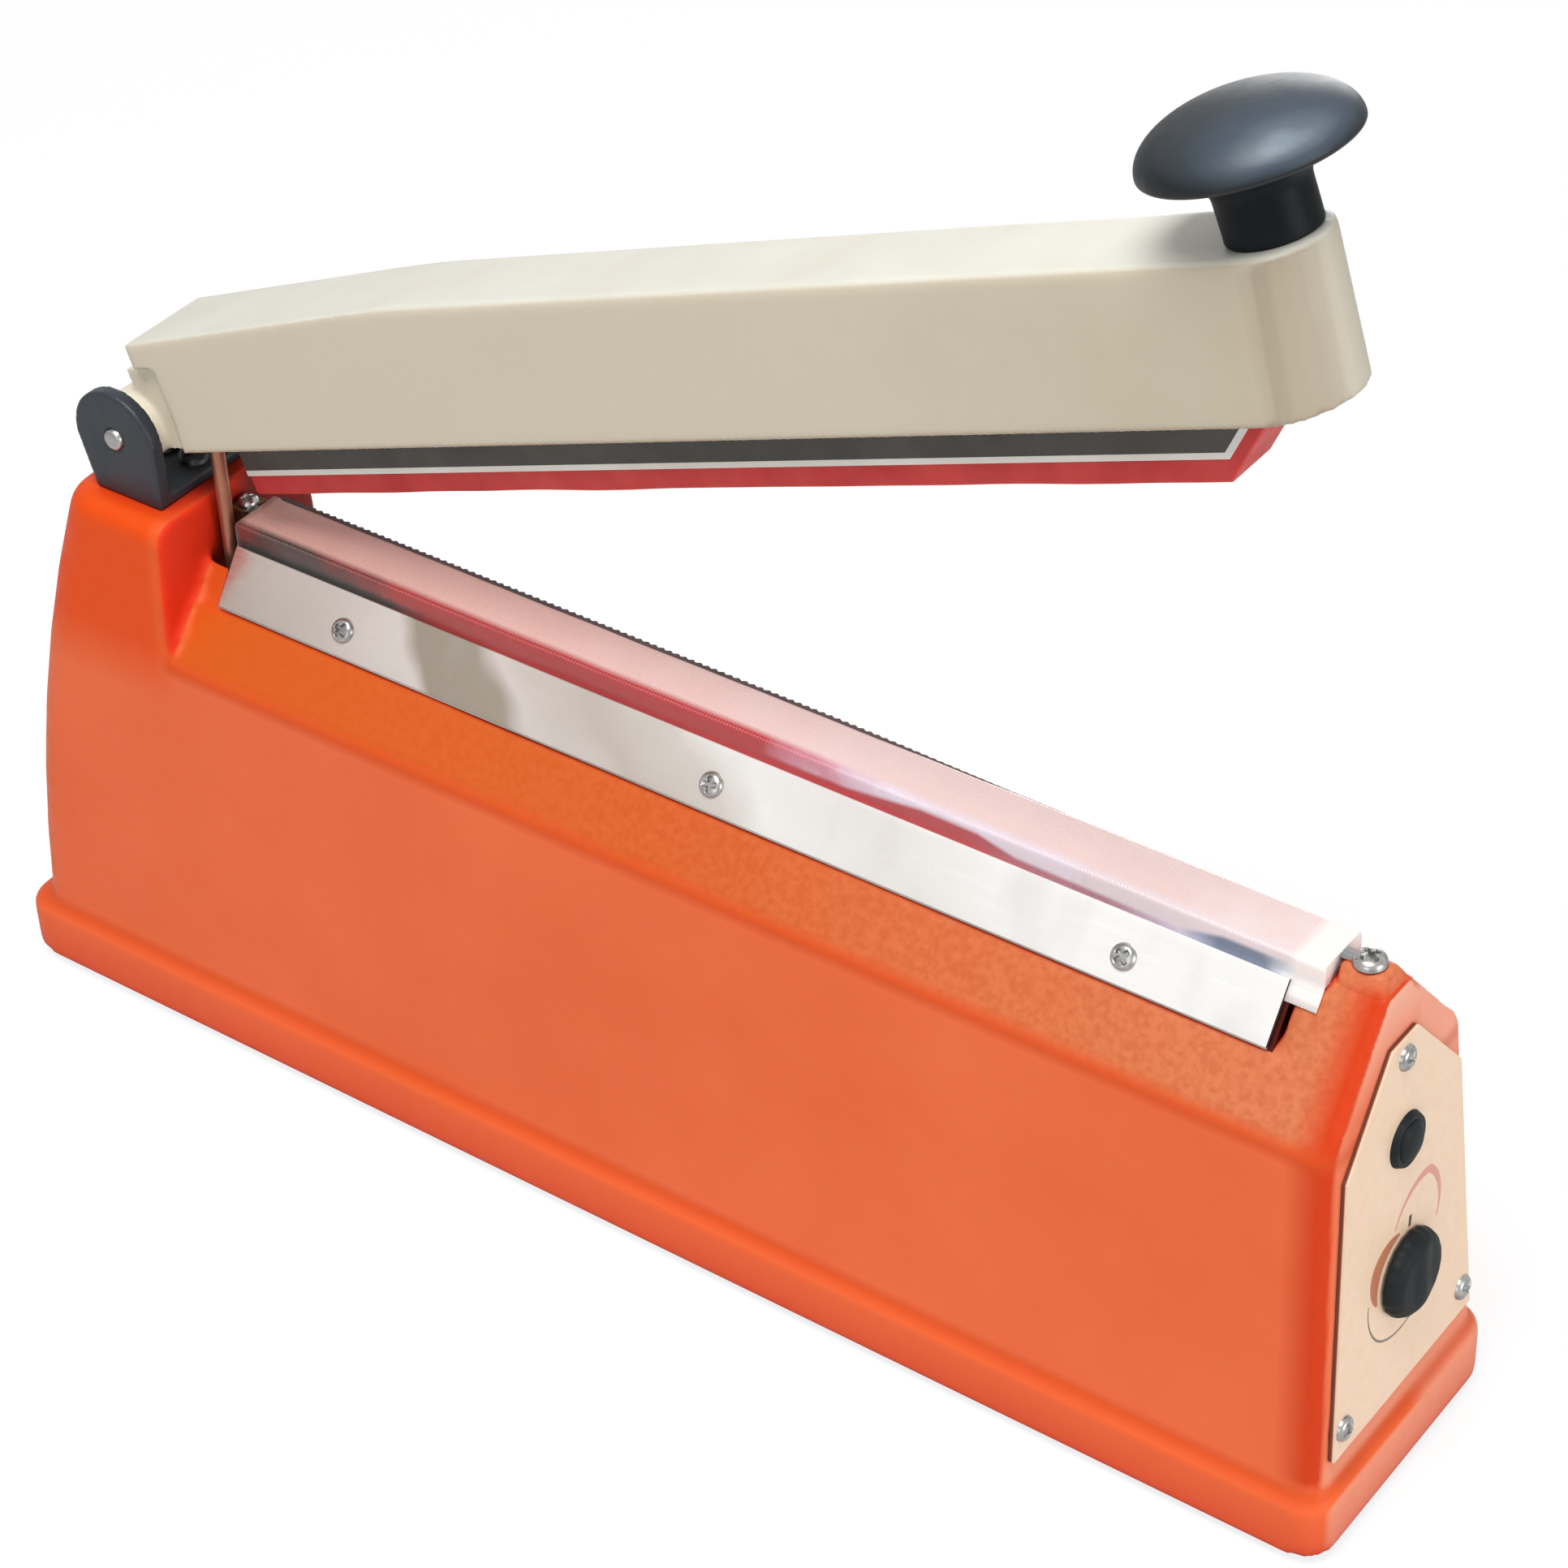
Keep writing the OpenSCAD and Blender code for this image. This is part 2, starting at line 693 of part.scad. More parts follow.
module bottom_plate() {
    color("gray") standing() difference() {
        slab(plate_rim + screw_fit, body_l - plate_rim - screw_fit,
             body_w - 2 * plate_rim - 2 * screw_fit, flange_r - plate_rim, plate_t);
        for (p = boss_spots)
            translate([p.x, p.y, -cut]) cylinder(r = m3_r + screw_fit, h = plate_t + 2 * cut);
        for (p = foot_spots)
            translate([p.x, p.y, -cut]) cylinder(r = foot_r / 3 + fit, h = plate_t + 2 * cut);
        for (s = [-1, 1])
            translate([core_x + s * (core_l / 2 + strap_t + strap_foot / 2), 0, -cut])
                cylinder(r = m4_r + screw_fit, h = plate_t + 2 * cut);
        for (x = bracket_foot_x)
            translate([x, web_y + sheet_t + foot_flange / 2, -cut])
                cylinder(r = m3_r + screw_fit, h = plate_t + 2 * cut);
    }
}

// Push-in foot: tread, stem through the plate and a barb above it
module rubber_feet() {
    color("dimgray") standing() for (p = foot_spots)
        translate([p.x, p.y, 0]) rotate_extrude() polygon([
            [0, -foot_proud], [foot_r - 0.6, -foot_proud], [foot_r, 0], [foot_r / 3, 0],
            [foot_r / 3, plate_t], [foot_r / 3 + 0.9, plate_t], [foot_r / 3 - 0.6, plate_t + 2],
            [0, plate_t + 2]
        ]);
}

module bottom_screws() {
    color("silver") standing() for (p = boss_spots)
        translate([p.x, p.y, 0]) mirror([0, 0, 1])
            pan_screw(m3_r, bottom_bite, m3_head_r, m3_head_t);
}

// Split grommet without the cord
module cord_gland() {
    color("dimgray") standing() translate([0, 0, gland_h]) rotate([0, 90, 0])
        rotate_extrude() polygon([
            [cord_r, -gland_rim_t], [gland_r + 0.6, -gland_rim_t], [gland_r + 1.2, 0],
            [gland_r, 0], [gland_r, gland_wall], [gland_r + 1, gland_wall],
            [gland_r + 0.4, gland_wall + gland_rim_t], [cord_r, gland_wall + gland_rim_t]
        ]);
}

module end_panel() {
    foot_h = flange_h + panel_foot_rim;
    side = half_w(foot_h) - panel_rim;
    shoulder_y = crease_w / 2 - panel_rim;
    shoulder_end_h = roof_h(shoulder_y) - panel_roof_rim / cos(roof_a);
    outline = [
        [-side, foot_h], [side, foot_h], [shoulder_y, shoulder_end_h],
        [panel_top_w / 2, panel_top_h()], [-panel_top_w / 2, panel_top_h()],
        [-shoulder_y, shoulder_end_h]
    ];
    color("bisque") difference() {
        at_end(0, timer_h) linear_extrude(panel_t)
            polygon([for (p = outline) [(timer_h - p.y) / cos(end_a), p.x]]);
        end_holes(cut);
    }
}

module end_panel_screws() {
    color("silver") for (p = panel_screw_spots())
        at_end(p.x, p.y) translate([0, 0, panel_t])
            pan_screw(panel_screw_r, panel_t + shell_t + panel_bite, m2_head_r, m2_head_t);
}

// Potentiometer behind the end wall, with its threaded neck through wall and panel
module timer_pot() {
    color("lightslategray") at_end(0, timer_h) difference() {
        union() {
            translate([0, 0, -shell_t - pot_d]) cylinder(r = pot_r, h = pot_d);
            translate([0, 0, -shell_t])
                cylinder(r = pot_neck_r, h = shell_t + panel_t + nut_t + neck_spare);
        }
        translate([0, 0, -shell_t - shaft_bite - neck_spare])
            cylinder(r = shaft_r + fit, h = shell_t + shaft_bite + panel_t + nut_t + cut);
    }
}

module pot_nut() {
    color("silver") at_end(0, timer_h) translate([0, 0, panel_t]) difference() {
        cylinder(r = nut_r, h = nut_t, $fn = 6);
        translate([0, 0, -cut]) cylinder(r = pot_neck_r + fit, h = nut_t + 2 * cut);
    }
}

module timer_board() {
    color("seagreen") at_end(0, timer_h)
        translate([-board_h / 2, -board_w / 2, -shell_t - pot_d - board_t])
            cube([board_h, board_w, board_t]);
}

module timer_relay() {
    color("royalblue") at_end(0, timer_h)
        translate([-relay_l / 2, board_w / 2 - relay_w - 2, -shell_t - pot_d - board_t - relay_t])
            cube([relay_l, relay_w, relay_t]);
}

module timer_capacitor() {
    color("midnightblue") at_end(0, timer_h)
        translate([3, -board_w / 4, -shell_t - pot_d - board_t - can_l])
            cylinder(r = can_r, h = can_l);
}

// Bezel and threaded barrel of the push button
module power_switch_body() {
    color("black") at_end(0, button_h) difference() {
        union() {
            translate([0, 0, panel_t]) cylinder(r1 = bezel_r, r2 = bezel_r - 0.5, h = bezel_t);
            translate([0, 0, panel_t - barrel_d]) cylinder(r = barrel_r, h = barrel_d);
        }
        translate([0, 0, panel_t - barrel_d / 2])
            cylinder(r = button_r + fit, h = barrel_d);
    }
}

module power_switch_nut() {
    color("dimgray") at_end(0, button_h) translate([0, 0, -shell_t - switch_nut_t]) difference() {
        cylinder(r = barrel_r + 2.2, h = switch_nut_t, $fn = 6);
        translate([0, 0, -cut]) cylinder(r = barrel_r + fit, h = switch_nut_t + 2 * cut);
    }
}

// Cap of the push button with a rounded face
module power_button() {
    depth = panel_t + bezel_t + button_proud;
    color("black") at_end(0, button_h) rotate_extrude() polygon(concat(
        [[0, -4], [button_r, -4]],
        [for (a = [0 : 30 : 90]) [button_r - 1 + cos(a), depth - 1 + sin(a)]],
        [[0, depth]]
    ));
}

// Timer knob with a fluted rim, a pointer rib and a pocket for the nut
module timer_knob() {
    flutes = 18;
    low = panel_t + touch_gap;
    color("black") at_end(0, timer_h) difference() {
        union() {
            translate([0, 0, low]) cylinder(r1 = timer_r, r2 = timer_r - 1, h = timer_t);
            translate([rib_inset - timer_r, -1, low + timer_t - 0.5])
                cube([2 * (timer_r - rib_inset), 2, 0.5 + rib_proud]);
        }
        for (i = [0 : flutes - 1])
            rotate(i * 360 / flutes) translate([timer_r + 0.3, 0, low - cut])
                cylinder(r = 0.8, h = timer_t + 2 * cut);
        translate([0, 0, low - cut]) cylinder(r = nut_r + 0.5, h = cut + nut_t + 0.6);
        translate([0, 0, low - cut]) cylinder(r = shaft_r + fit, h = timer_t);
    }
}

module timer_shaft() {
    color("silver") at_end(0, timer_h) translate([0, 0, -shell_t - shaft_bite])
        cylinder(r = shaft_r,
                 h = shell_t + shaft_bite + panel_t + touch_gap + timer_t - cut - neck_spare);
}

// Trapezoid bar that carries the heating element
module jaw_bar() {
    color("lightgray") difference() {
        standing() difference() {
            translate([jaw_start, 0, 0]) rotate([90, 0, 90]) linear_extrude(jaw_l) polygon([
                [-jaw_foot_w / 2, seat_h], [jaw_foot_w / 2, seat_h],
                [jaw_top_w / 2, jaw_top], [-jaw_top_w / 2, jaw_top]
            ]);
            for (x = jaw_screw_x)
                translate([x, 0, seat_h - cut])
                    cylinder(r = m4_r + screw_fit, h = jaw_screw_bite + bore_spare + cut);
        }
        clamp_bores();
    }
}

// Tapped bores for the clamp strip screws in both slopes
module clamp_bores() {
    for (x = clamp_x) {
        on_front_slope() translate([x, clamp_screw_s, -clamp_bite])
            cylinder(r = panel_screw_r + screw_fit, h = clamp_bite + cut);
        on_rear_slope() translate([x, clamp_screw_s, -clamp_bite])
            cylinder(r = panel_screw_r + screw_fit, h = clamp_bite + cut);
    }
}

module jaw_screws() {
    color("silver") standing() for (x = jaw_screw_x)
        translate([x, 0, seat_h - shell_t]) mirror([0, 0, 1])
            pan_screw(m4_r, shell_t + jaw_screw_bite, m4_head_r, m4_head_t);
}

// Red strip with a groove for the wire
module insulating_strip() {
    color("firebrick") standing() difference() {
        translate([jaw_start, -jaw_top_w / 2, jaw_top])
            cube([seat_end - side_gap - jaw_start, jaw_top_w, insulator_h]);
        translate([jaw_start - cut, -wire_w / 2 - fit, wire_h])
            cube([seat_end + 2 * cut - jaw_start, wire_w + 2 * fit, wire_t + cut]);
    }
}

// Flat wire from terminal to terminal, its ends under the heads of their screws
module heating_wire() {
    start = left_terminal_x + panel_screw_r + 0.2;
    stop = right_terminal_x - m3_r - 0.2;
    color("slategray") standing() translate([start, -wire_w / 2, wire_h])
        cube([stop - start, wire_w, wire_t]);
}

// Cover sheet over the ridge and down both slopes under the clamp strips
module ptfe_cover() {
    ny = sin(slope_a);
    nz = cos(slope_a);
    low = [jaw_top_w / 2 + cover_flap * cos(slope_a), jaw_top - cover_flap * sin(slope_a)];
    half = [
        low, [jaw_top_w / 2, jaw_top], [jaw_top_w / 2, ridge_h - cover_t],
        [jaw_top_w / 2 + cover_t, ridge_h],
        [jaw_top_w / 2 + cover_t, jaw_top + cover_t * (1 - ny) / nz],
        low + cover_t * [ny, nz]
    ];
    start = max(clamp_start - cover_tab, jaw_start + 0.2);
    stop = min(clamp_start + clamp_l + cover_tab, seat_end - side_gap - fit);
    color("mistyrose") standing() translate([start, 0, 0]) rotate([90, 0, 90])
        linear_extrude(stop - start)
            polygon(concat(
                [for (i = [0 : 2]) half[i]],
                [for (i = [2 : -1 : 0]) [-half[i].x, half[i].y]],
                [for (i = [5 : -1 : 3]) [-half[i].x, half[i].y]],
                [for (i = [3 : 5]) half[i]]
            ));
}

// One steel strip with its row of screw holes, in a slope's frame
module clamp_strip() {
    difference() {
        translate([clamp_start, clamp_s, cover_t]) cube([clamp_l, clamp_w, clamp_t]);
        for (x = clamp_x)
            translate([x, clamp_screw_s, 0])
                cylinder(r = panel_screw_r + screw_fit, h = cover_t + clamp_t + cut);
    }
}

module clamp_screws() {
    for (x = clamp_x)
        translate([x, clamp_screw_s, cover_t + clamp_t])
            pan_screw(panel_screw_r, clamp_bite, m2_head_r, m2_head_t);
}

module front_clamp_strip() {
    color("lightgray") on_front_slope() clamp_strip();
}

module rear_clamp_strip() {
    color("lightgray") on_rear_slope() clamp_strip();
}

module front_clamp_screws() {
    color("silver") on_front_slope() clamp_screws();
}

module rear_clamp_screws() {
    color("silver") on_rear_slope() clamp_screws();
}

// Brass post with a stud through the seat
module left_terminal() {
    color("goldenrod") standing() left_terminal_place() difference() {
        union() {
            translate([-terminal_l / 2, -terminal_w / 2, 0])
                cube([terminal_l, terminal_w, wire_h - seat_h]);
            translate([0, 0, -terminal_stud_l]) cylinder(r = m4_r, h = terminal_stud_l);
        }
        translate([0, 0, wire_h - seat_h - terminal_screw_l - bore_spare])
            cylinder(r = panel_screw_r + screw_fit, h = terminal_screw_l + bore_spare + cut);
    }
}

module left_terminal_screw() {
    color("silver") standing() left_terminal_place()
        translate([0, 0, wire_h - seat_h + wire_t])
            pan_screw(panel_screw_r, terminal_screw_l, m2_head_r * 0.85, m2_head_t);
}

// Brass block under the wire's far end
module right_terminal() {
    color("goldenrod") standing() right_terminal_place() difference() {
        translate([-right_terminal_l / 2, -right_terminal_w / 2, 0])
            cube([right_terminal_l, right_terminal_w, terminal_t]);
        translate([0, 0, -cut]) cylinder(r = m3_r + screw_fit, h = terminal_t + 2 * cut);
    }
}

module right_terminal_screw() {
    color("silver") standing() right_terminal_place()
        translate([0, 0, terminal_t + wire_t])
            pan_screw(m3_r, terminal_t + wire_t + shell_t, m3_head_r * 1.07, m3_head_t * 1.4);
}

// Clevis with two round ears on a base plate
module hinge_bracket() {
    w = ear_gap + 2 * ear_t;
    color("darkslategray") standing() difference() {
        union() {
            translate([pivot_x - ear_r, -w / 2, shoulder_h]) cube([2 * ear_r, w, bracket_t]);
            for (s = [-1, 1]) translate([pivot_x, s * (ear_gap + ear_t) / 2, 0]) {
                translate([-ear_r, -ear_t / 2, shoulder_h])
                    cube([2 * ear_r, ear_t, pivot_h - shoulder_h]);
                translate([0, 0, pivot_h]) cross_cylinder(ear_r, ear_t);
            }
        }
        translate([pivot_x, 0, pivot_h]) cross_cylinder(pin_r + fit, w + 2 * cut);
        translate([pivot_x - ear_foot, 0, shoulder_h]) rotate([0, ear_foot_a(), 0])
            translate([-2 * ear_r, -w, -ear_r]) cube([2 * ear_r, 2 * w, 4 * ear_r]);
        for (x = bracket_screw_x())
            translate([x, 0, shoulder_h - cut])
                cylinder(r = m4_r + screw_fit, h = bracket_t + 2 * cut);
    }
}

module bracket_screws() {
    color("silver") standing() for (x = bracket_screw_x())
        translate([x, 0, shoulder_h + bracket_t])
            pan_screw(m4_r, bracket_t + shell_t + bracket_bite, m4_head_r, m4_head_t);
}

module hinge_pin() {
    l = ear_gap + 2 * ear_t + 2 * pin_proud;
    color("gainsboro") standing() translate([pivot_x, 0, pivot_h]) cross_cylinder(pin_r, l);
}

// Laminated core with two windows
module transformer_core() {
    color("slategray") standing() translate([core_x, 0, plate_t]) difference() {
        translate([-core_l / 2, -core_w / 2, 0]) cube([core_l, core_w, core_h]);
        for (s = [-1, 1])
            translate([s * (core_l / 2 - limb_w - window_w() / 2) - window_w() / 2,
                       -core_w / 2 - cut, limb_w])
                cube([window_w(), core_w + 2 * cut, core_h - 2 * limb_w]);
    }
}

// Width of one window, beside a centre limb of twice the outer limb
function window_w() = core_l / 2 - 2 * limb_w;

// Winding round the centre limb
module transformer_coil() {
    out_x = limb_w + window_w() - coil_gap;
    out_y = core_w / 2 + coil_wall;
    h = core_h - 2 * limb_w - 2 * coil_gap;
    color("peru") standing() translate([core_x, 0, plate_t + limb_w + coil_gap]) difference() {
        slab(-out_x, out_x, 2 * out_y, 4, h);
        translate([-limb_w - coil_gap, -core_w / 2 - coil_gap, -cut])
            cube([2 * limb_w + 2 * coil_gap, core_w + 2 * coil_gap, h + 2 * cut]);
    }
}

// Sheet strap over the core with a foot at each end
module transformer_strap() {
    in_x = core_l / 2;
    out_x = in_x + strap_t;
    far_x = out_x + strap_foot;
    color("silver") standing() translate([core_x, 0, plate_t]) difference() {
        side_extrude(strap_w) polygon([
            [-far_x, 0], [-in_x, 0], [-in_x, core_h], [in_x, core_h], [in_x, 0], [far_x, 0],
            [far_x, strap_t], [out_x, strap_t], [out_x, core_h + strap_t],
            [-out_x, core_h + strap_t], [-out_x, strap_t], [-far_x, strap_t]
        ]);
        for (s = [-1, 1])
            translate([s * (out_x + strap_foot / 2), 0, -cut])
                cylinder(r = m4_r + screw_fit, h = strap_t + 2 * cut);
    }
}

module strap_screws() {
    color("silver") standing() for (s = [-1, 1])
        translate([core_x + s * (core_l / 2 + strap_t + strap_foot / 2), 0, plate_t + strap_t])
            pan_screw(m4_r, plate_t + strap_t, m4_head_r, m4_head_t);
}

// Bent sheet: foot on the plate, upright web and a top flange that guides the rod
module switch_bracket() {
    x0 = switch_x;
    x1 = rod_x + flange_half;
    color("silver") standing() difference() {
        union() {
            translate([x0, web_y, plate_t])
                cube([switch_l, foot_flange, sheet_t]);
            translate([x0, web_y, plate_t]) cube([x1 - x0, sheet_t, guide_h - plate_t]);
            translate([rod_x - flange_half, -rod_y - flange_half, guide_h - sheet_t])
                cube([2 * flange_half, web_y + rod_y + flange_half + sheet_t, sheet_t]);
        }
        translate([rod_x, -rod_y, guide_h - sheet_t - cut])
            cylinder(r = rod_r + side_gap, h = sheet_t + 2 * cut);
        for (x = switch_hole_x)
            translate([x, web_y + sheet_t / 2, switch_hole_h])
                cross_cylinder(m3_r + screw_fit, sheet_t + 2 * cut);
        for (x = bracket_foot_x)
            translate([x, web_y + sheet_t + foot_flange / 2, plate_t - cut])
                cylinder(r = m3_r + screw_fit, h = sheet_t + 2 * cut);
    }
}

module switch_bracket_screws() {
    color("silver") standing() for (x = bracket_foot_x)
        translate([x, web_y + sheet_t + foot_flange / 2, plate_t + sheet_t])
            pan_screw(m3_r, plate_t + sheet_t, m3_head_r, m3_head_t);
}

// Switch case with two lugs and a pin for the lever, and blade contacts below
module microswitch() {
    color("black") standing() difference() {
        union() {
            translate([switch_x, -rod_y - switch_w / 2, switch_top - switch_h])
                cube([switch_l, switch_w, switch_h]);
            for (s = [-1, 1])
                translate([lever_x - lug_w / 2, -rod_y + s * (lug_gap + lug_t) / 2 - lug_t / 2,
                           switch_top - cut])
                    cube([lug_w, lug_t, lever_clear + lug_w / 2 + cut]);
            translate([lever_x, -rod_y, lever_h]) cross_cylinder(lever_pin_r, lug_gap + lug_t);
            for (i = [0 : 2])
                translate([switch_x + switch_l * (0.14 + 0.32 * i), -rod_y - blade_t / 2,
                           switch_top - switch_h - blade_l])
                    cube([blade_w, blade_t, blade_l + cut]);
        }
        for (x = switch_hole_x)
            translate([x, -rod_y, switch_hole_h])
                cross_cylinder(m3_r + screw_fit, switch_w + 2 * cut);
    }
}

module microswitch_screws() {
    color("silver") standing() for (x = switch_hole_x)
        translate([x, -rod_y - switch_w / 2, switch_hole_h]) rotate([90, 0, 0])
            pan_screw(m3_r, switch_w + sheet_t + panel_bite, m3_head_r, m3_head_t);
}

// Lever with a rolled eye on the pin, at its raised rest angle
module switch_lever() {
    color("silver") standing() translate([lever_x, -rod_y, lever_h]) rotate([0, -lever_a, 0])
        difference() {
            union() {
                cross_cylinder(eye_r, lug_gap - 2 * side_gap);
                translate([0, -lug_gap / 2 + side_gap, -lever_t / 2])
                    cube([lever_reach + lever_past, lug_gap - 2 * side_gap, lever_t]);
            }
            cross_cylinder(lever_pin_r + screw_fit, lug_gap);
        }
}

// Flanged bush in the seat that guides the trigger rod
module rod_bush() {
    color("white") standing() translate([rod_x, -rod_y, 0]) difference() {
        union() {
            translate([0, 0, bush_foot]) cylinder(r = bush_r, h = seat_h - bush_foot);
            translate([0, 0, seat_h]) intersection() {
                cylinder(r = bush_rim_r, h = bush_rim_t);
                translate([shoulder_l + bush_gap / 2 - rod_x, -bush_rim_r, 0])
                    cube([jaw_gap - bush_gap, bush_rim_w, bush_rim_t]);
            }
        }
        translate([0, 0, bush_foot - cut])
            cylinder(r = rod_r + fit, h = seat_h + bush_rim_t - bush_foot + 2 * cut);
    }
}

// Round rod with domed ends between the arm and the microswitch lever
module trigger_rod() {
    tip = rod_tip(open_a);
    color("sienna") standing() translate([rod_x, -rod_y, 0]) {
        translate([0, 0, rod_foot]) cylinder(r = rod_r, h = tip - rod_foot);
        translate([0, 0, rod_foot]) sphere(r = rod_r);
        translate([0, 0, tip]) sphere(r = rod_r);
    }
}

// Collar on the rod: the spring pushes it up against the bush
module rod_collar() {
    color("silver") standing() translate([rod_x, -rod_y, collar_h]) difference() {
        cylinder(r = collar_r, h = collar_t);
        translate([0, 0, -cut]) cylinder(r = rod_r + fit, h = collar_t + 2 * cut);
    }
}

// Middle of the spring's wire at a step of its helix
rings_per_turn = 8;
wire_sides = 6;
spring_steps = spring_turns * rings_per_turn;
spring_low = guide_h + spring_wire_r + 0.1;
spring_high = collar_h - spring_wire_r - 0.1;
function spring_point(i) =
    let (a = i * 360 / rings_per_turn)
    [spring_r * cos(a), spring_r * sin(a), spring_low + (spring_high - spring_low) * i / spring_steps];
spring_points = [for (i = [0 : spring_steps]) spring_point(i)];
spring_ring_gap = min([
    for (i = [0 : spring_steps - rings_per_turn])
        norm(spring_points[i + rings_per_turn] - spring_points[i])
]) - 2 * spring_wire_r;
echo(spring_least_gap = spring_ring_gap);

// Compression spring as one unbroken wire
module return_spring() {
    points = [
        for (i = [0 : spring_steps], j = [0 : wire_sides - 1])
            let (
                a = i * 360 / rings_per_turn,
                b = j * 360 / wire_sides,
                out = [cos(a), sin(a), 0]
            )
            spring_points[i] + spring_wire_r * (cos(b) * out + [0, 0, sin(b)])
    ];
    sides = [
        for (i = [0 : spring_steps - 1], j = [0 : wire_sides - 1])
            let (
                p = i * wire_sides + j,
                q = i * wire_sides + (j + 1) % wire_sides
            )
            each [[p, p + wire_sides, q + wire_sides], [p, q + wire_sides, q]]
    ];
    start = [for (j = [1 : wire_sides - 2]) [0, j, j + 1]];
    stop = [
        for (j = [1 : wire_sides - 2])
            let (n = spring_steps * wire_sides)
                [n, n + j + 1, n + j]
    ];
    color("silver") standing() translate([rod_x, -rod_y, 0])
        polyhedron(points, concat(start, sides, stop));
}

// Arm as a solid, or its hollow when drawn in by the wall
module arm_form(inset) {
    slope = arm_fall / (arm_fall_u - arm_rear);
    difference() {
        loft(arm_rings(inset));
        side_extrude(2 * arm_low_w) polygon([
            [arm_fall_u, arm_above - inset],
            [-arm_fall_u, arm_above - inset - 2 * arm_fall_u * slope],
            [-arm_fall_u, 2 * arm_above], [arm_fall_u, 2 * arm_above]
        ]);
    }
}

// Channel with a round knob end, a notch for the hinge and posts for the screws
module arm_shell() {
    color("tan") on_arm() difference() {
        union() {
            difference() {
                arm_form(0);
                arm_form(arm_t);
                translate([-notch_u, -arm_low_w, -2 * arm_below])
                    cube([2 * notch_u, 2 * arm_low_w, notch_h + 2 * arm_below]);
            }
            for (u = block_screw_u)
                translate([u, 0, block_top])
                    cylinder(r = post_r, h = arm_top(u) - arm_t / 2 - block_top);
            for (u = bar_screw_u)
                translate([u, 0, -bar_drop])
                    cylinder(r = post_r, h = bar_drop + arm_top(u) - arm_t / 2);
        }
        for (u = block_screw_u)
            translate([u, 0, block_top - cut])
                cylinder(r = m4_r + screw_fit, h = cut + block_bite + bore_spare / 2);
        for (u = bar_screw_u)
            translate([u, 0, -bar_drop - cut])
                cylinder(r = m4_r + screw_fit, h = cut + bar_bite + bore_spare);
        translate([knob_u, 0, arm_above - arm_t - cut])
            cylinder(r = stud_r + screw_fit, h = arm_t + 2 * cut);
    }
}

// Block inside the arm with the hub that turns on the hinge pin
module hinge_block() {
    color("antiquewhite") on_arm() difference() {
        union() {
            translate([arm_rear - block_rear, -block_w / 2, -bar_drop])
                cube([block_l - arm_rear + block_rear, block_w, bar_drop + block_top]);
            cross_cylinder(hub_r, ear_gap - 2 * side_gap);
        }
        cross_cylinder(pin_r + fit, ear_gap);
        for (u = block_screw_u) translate([u, 0, -bar_drop - cut]) {
            cylinder(r = m4_r + screw_fit, h = bar_drop + block_top + 2 * cut);
            cylinder(r = m4_head_r + screw_fit, h = cut + m4_head_t + head_sink);
        }
    }
}

module hinge_block_screws() {
    color("silver") on_arm() for (u = block_screw_u)
        translate([u, 0, -bar_drop + m4_head_t + head_sink]) mirror([0, 0, 1])
            pan_screw(m4_r, bar_drop + block_top - m4_head_t - head_sink + block_bite,
                      m4_head_r, m4_head_t);
}

// Layer wrapped round the pressure bar's underside and its slanted end, from depth d0 to d1
module bar_layer(d0, d1, w) {
    mitre = tan(22.5);
    end_top = bar_end + bar_h;
    side_extrude(w) polygon([
        [bar_start, -bar_low - d0], [bar_end + d0 * mitre, -bar_low - d0],
        [end_top + d0 * sqrt(2), -bar_drop], [end_top + d1 * sqrt(2), -bar_drop],
        [bar_end + d1 * mitre, -bar_low - d1], [bar_start, -bar_low - d1]
    ]);
}

// Bar under the arm with a slanted end
module pressure_bar() {
    color("darkslategray") on_arm() difference() {
        side_extrude(bar_w) polygon([
            [bar_start, -bar_low], [bar_end, -bar_low], [bar_end + bar_h, -bar_drop],
            [bar_start, -bar_drop]
        ]);
        for (u = bar_screw_u) translate([u, 0, -bar_low - cut]) {
            cylinder(r = m4_r + screw_fit, h = bar_h + 2 * cut);
            cylinder(r = m4_head_r + screw_fit, h = cut + m4_head_t + head_sink);
        }
    }
}

module bar_screws() {
    color("silver") on_arm() for (u = bar_screw_u)
        translate([u, 0, -bar_low + m4_head_t + head_sink]) mirror([0, 0, 1])
            pan_screw(m4_r, bar_h - m4_head_t - head_sink + bar_bite, m4_head_r, m4_head_t);
}

module backing_strip() {
    color("white") on_arm() bar_layer(0, backing_t, bar_w);
}

module silicone_strip() {
    color("crimson") on_arm() bar_layer(backing_t, backing_t + silicone_t, silicone_w);
}

// Mushroom knob: stem, flared underside, rounded rim and dome
module press_knob() {
    rim_r = 1.2;
    flare_h = cap_rim_h * 0.55;
    dome_r = (cap_r * cap_r + cap_dome * cap_dome) / (2 * cap_dome);
    dome_a = asin((cap_r - rim_r * 0.2) / dome_r);
    flare = [
        for (t = [0 : 15 : 90])
            [neck_r + (cap_r - rim_r - neck_r) * (1 - cos(t)),
             flare_h + (cap_rim_h - rim_r - flare_h) * sin(t)]
    ];
    rim = [for (t = [-60 : 30 : 0]) [cap_r - rim_r + rim_r * cos(t), cap_rim_h + rim_r * sin(t)]];
    dome = [
        for (i = [1 : 8])
            let (a = dome_a * (1 - i / 8))
                [dome_r * sin(a), cap_top - dome_r * (1 - cos(a))]
    ];
    color("darkslategray") on_arm() translate([knob_u, 0, arm_above]) difference() {
        rotate_extrude() polygon(concat([[0, 0], [stem_r, 0], [stem_r, 1]], flare, rim, dome));
        translate([0, 0, -cut]) cylinder(r = stud_r + fit, h = cap_rim_h + cut - 1);
    }
}

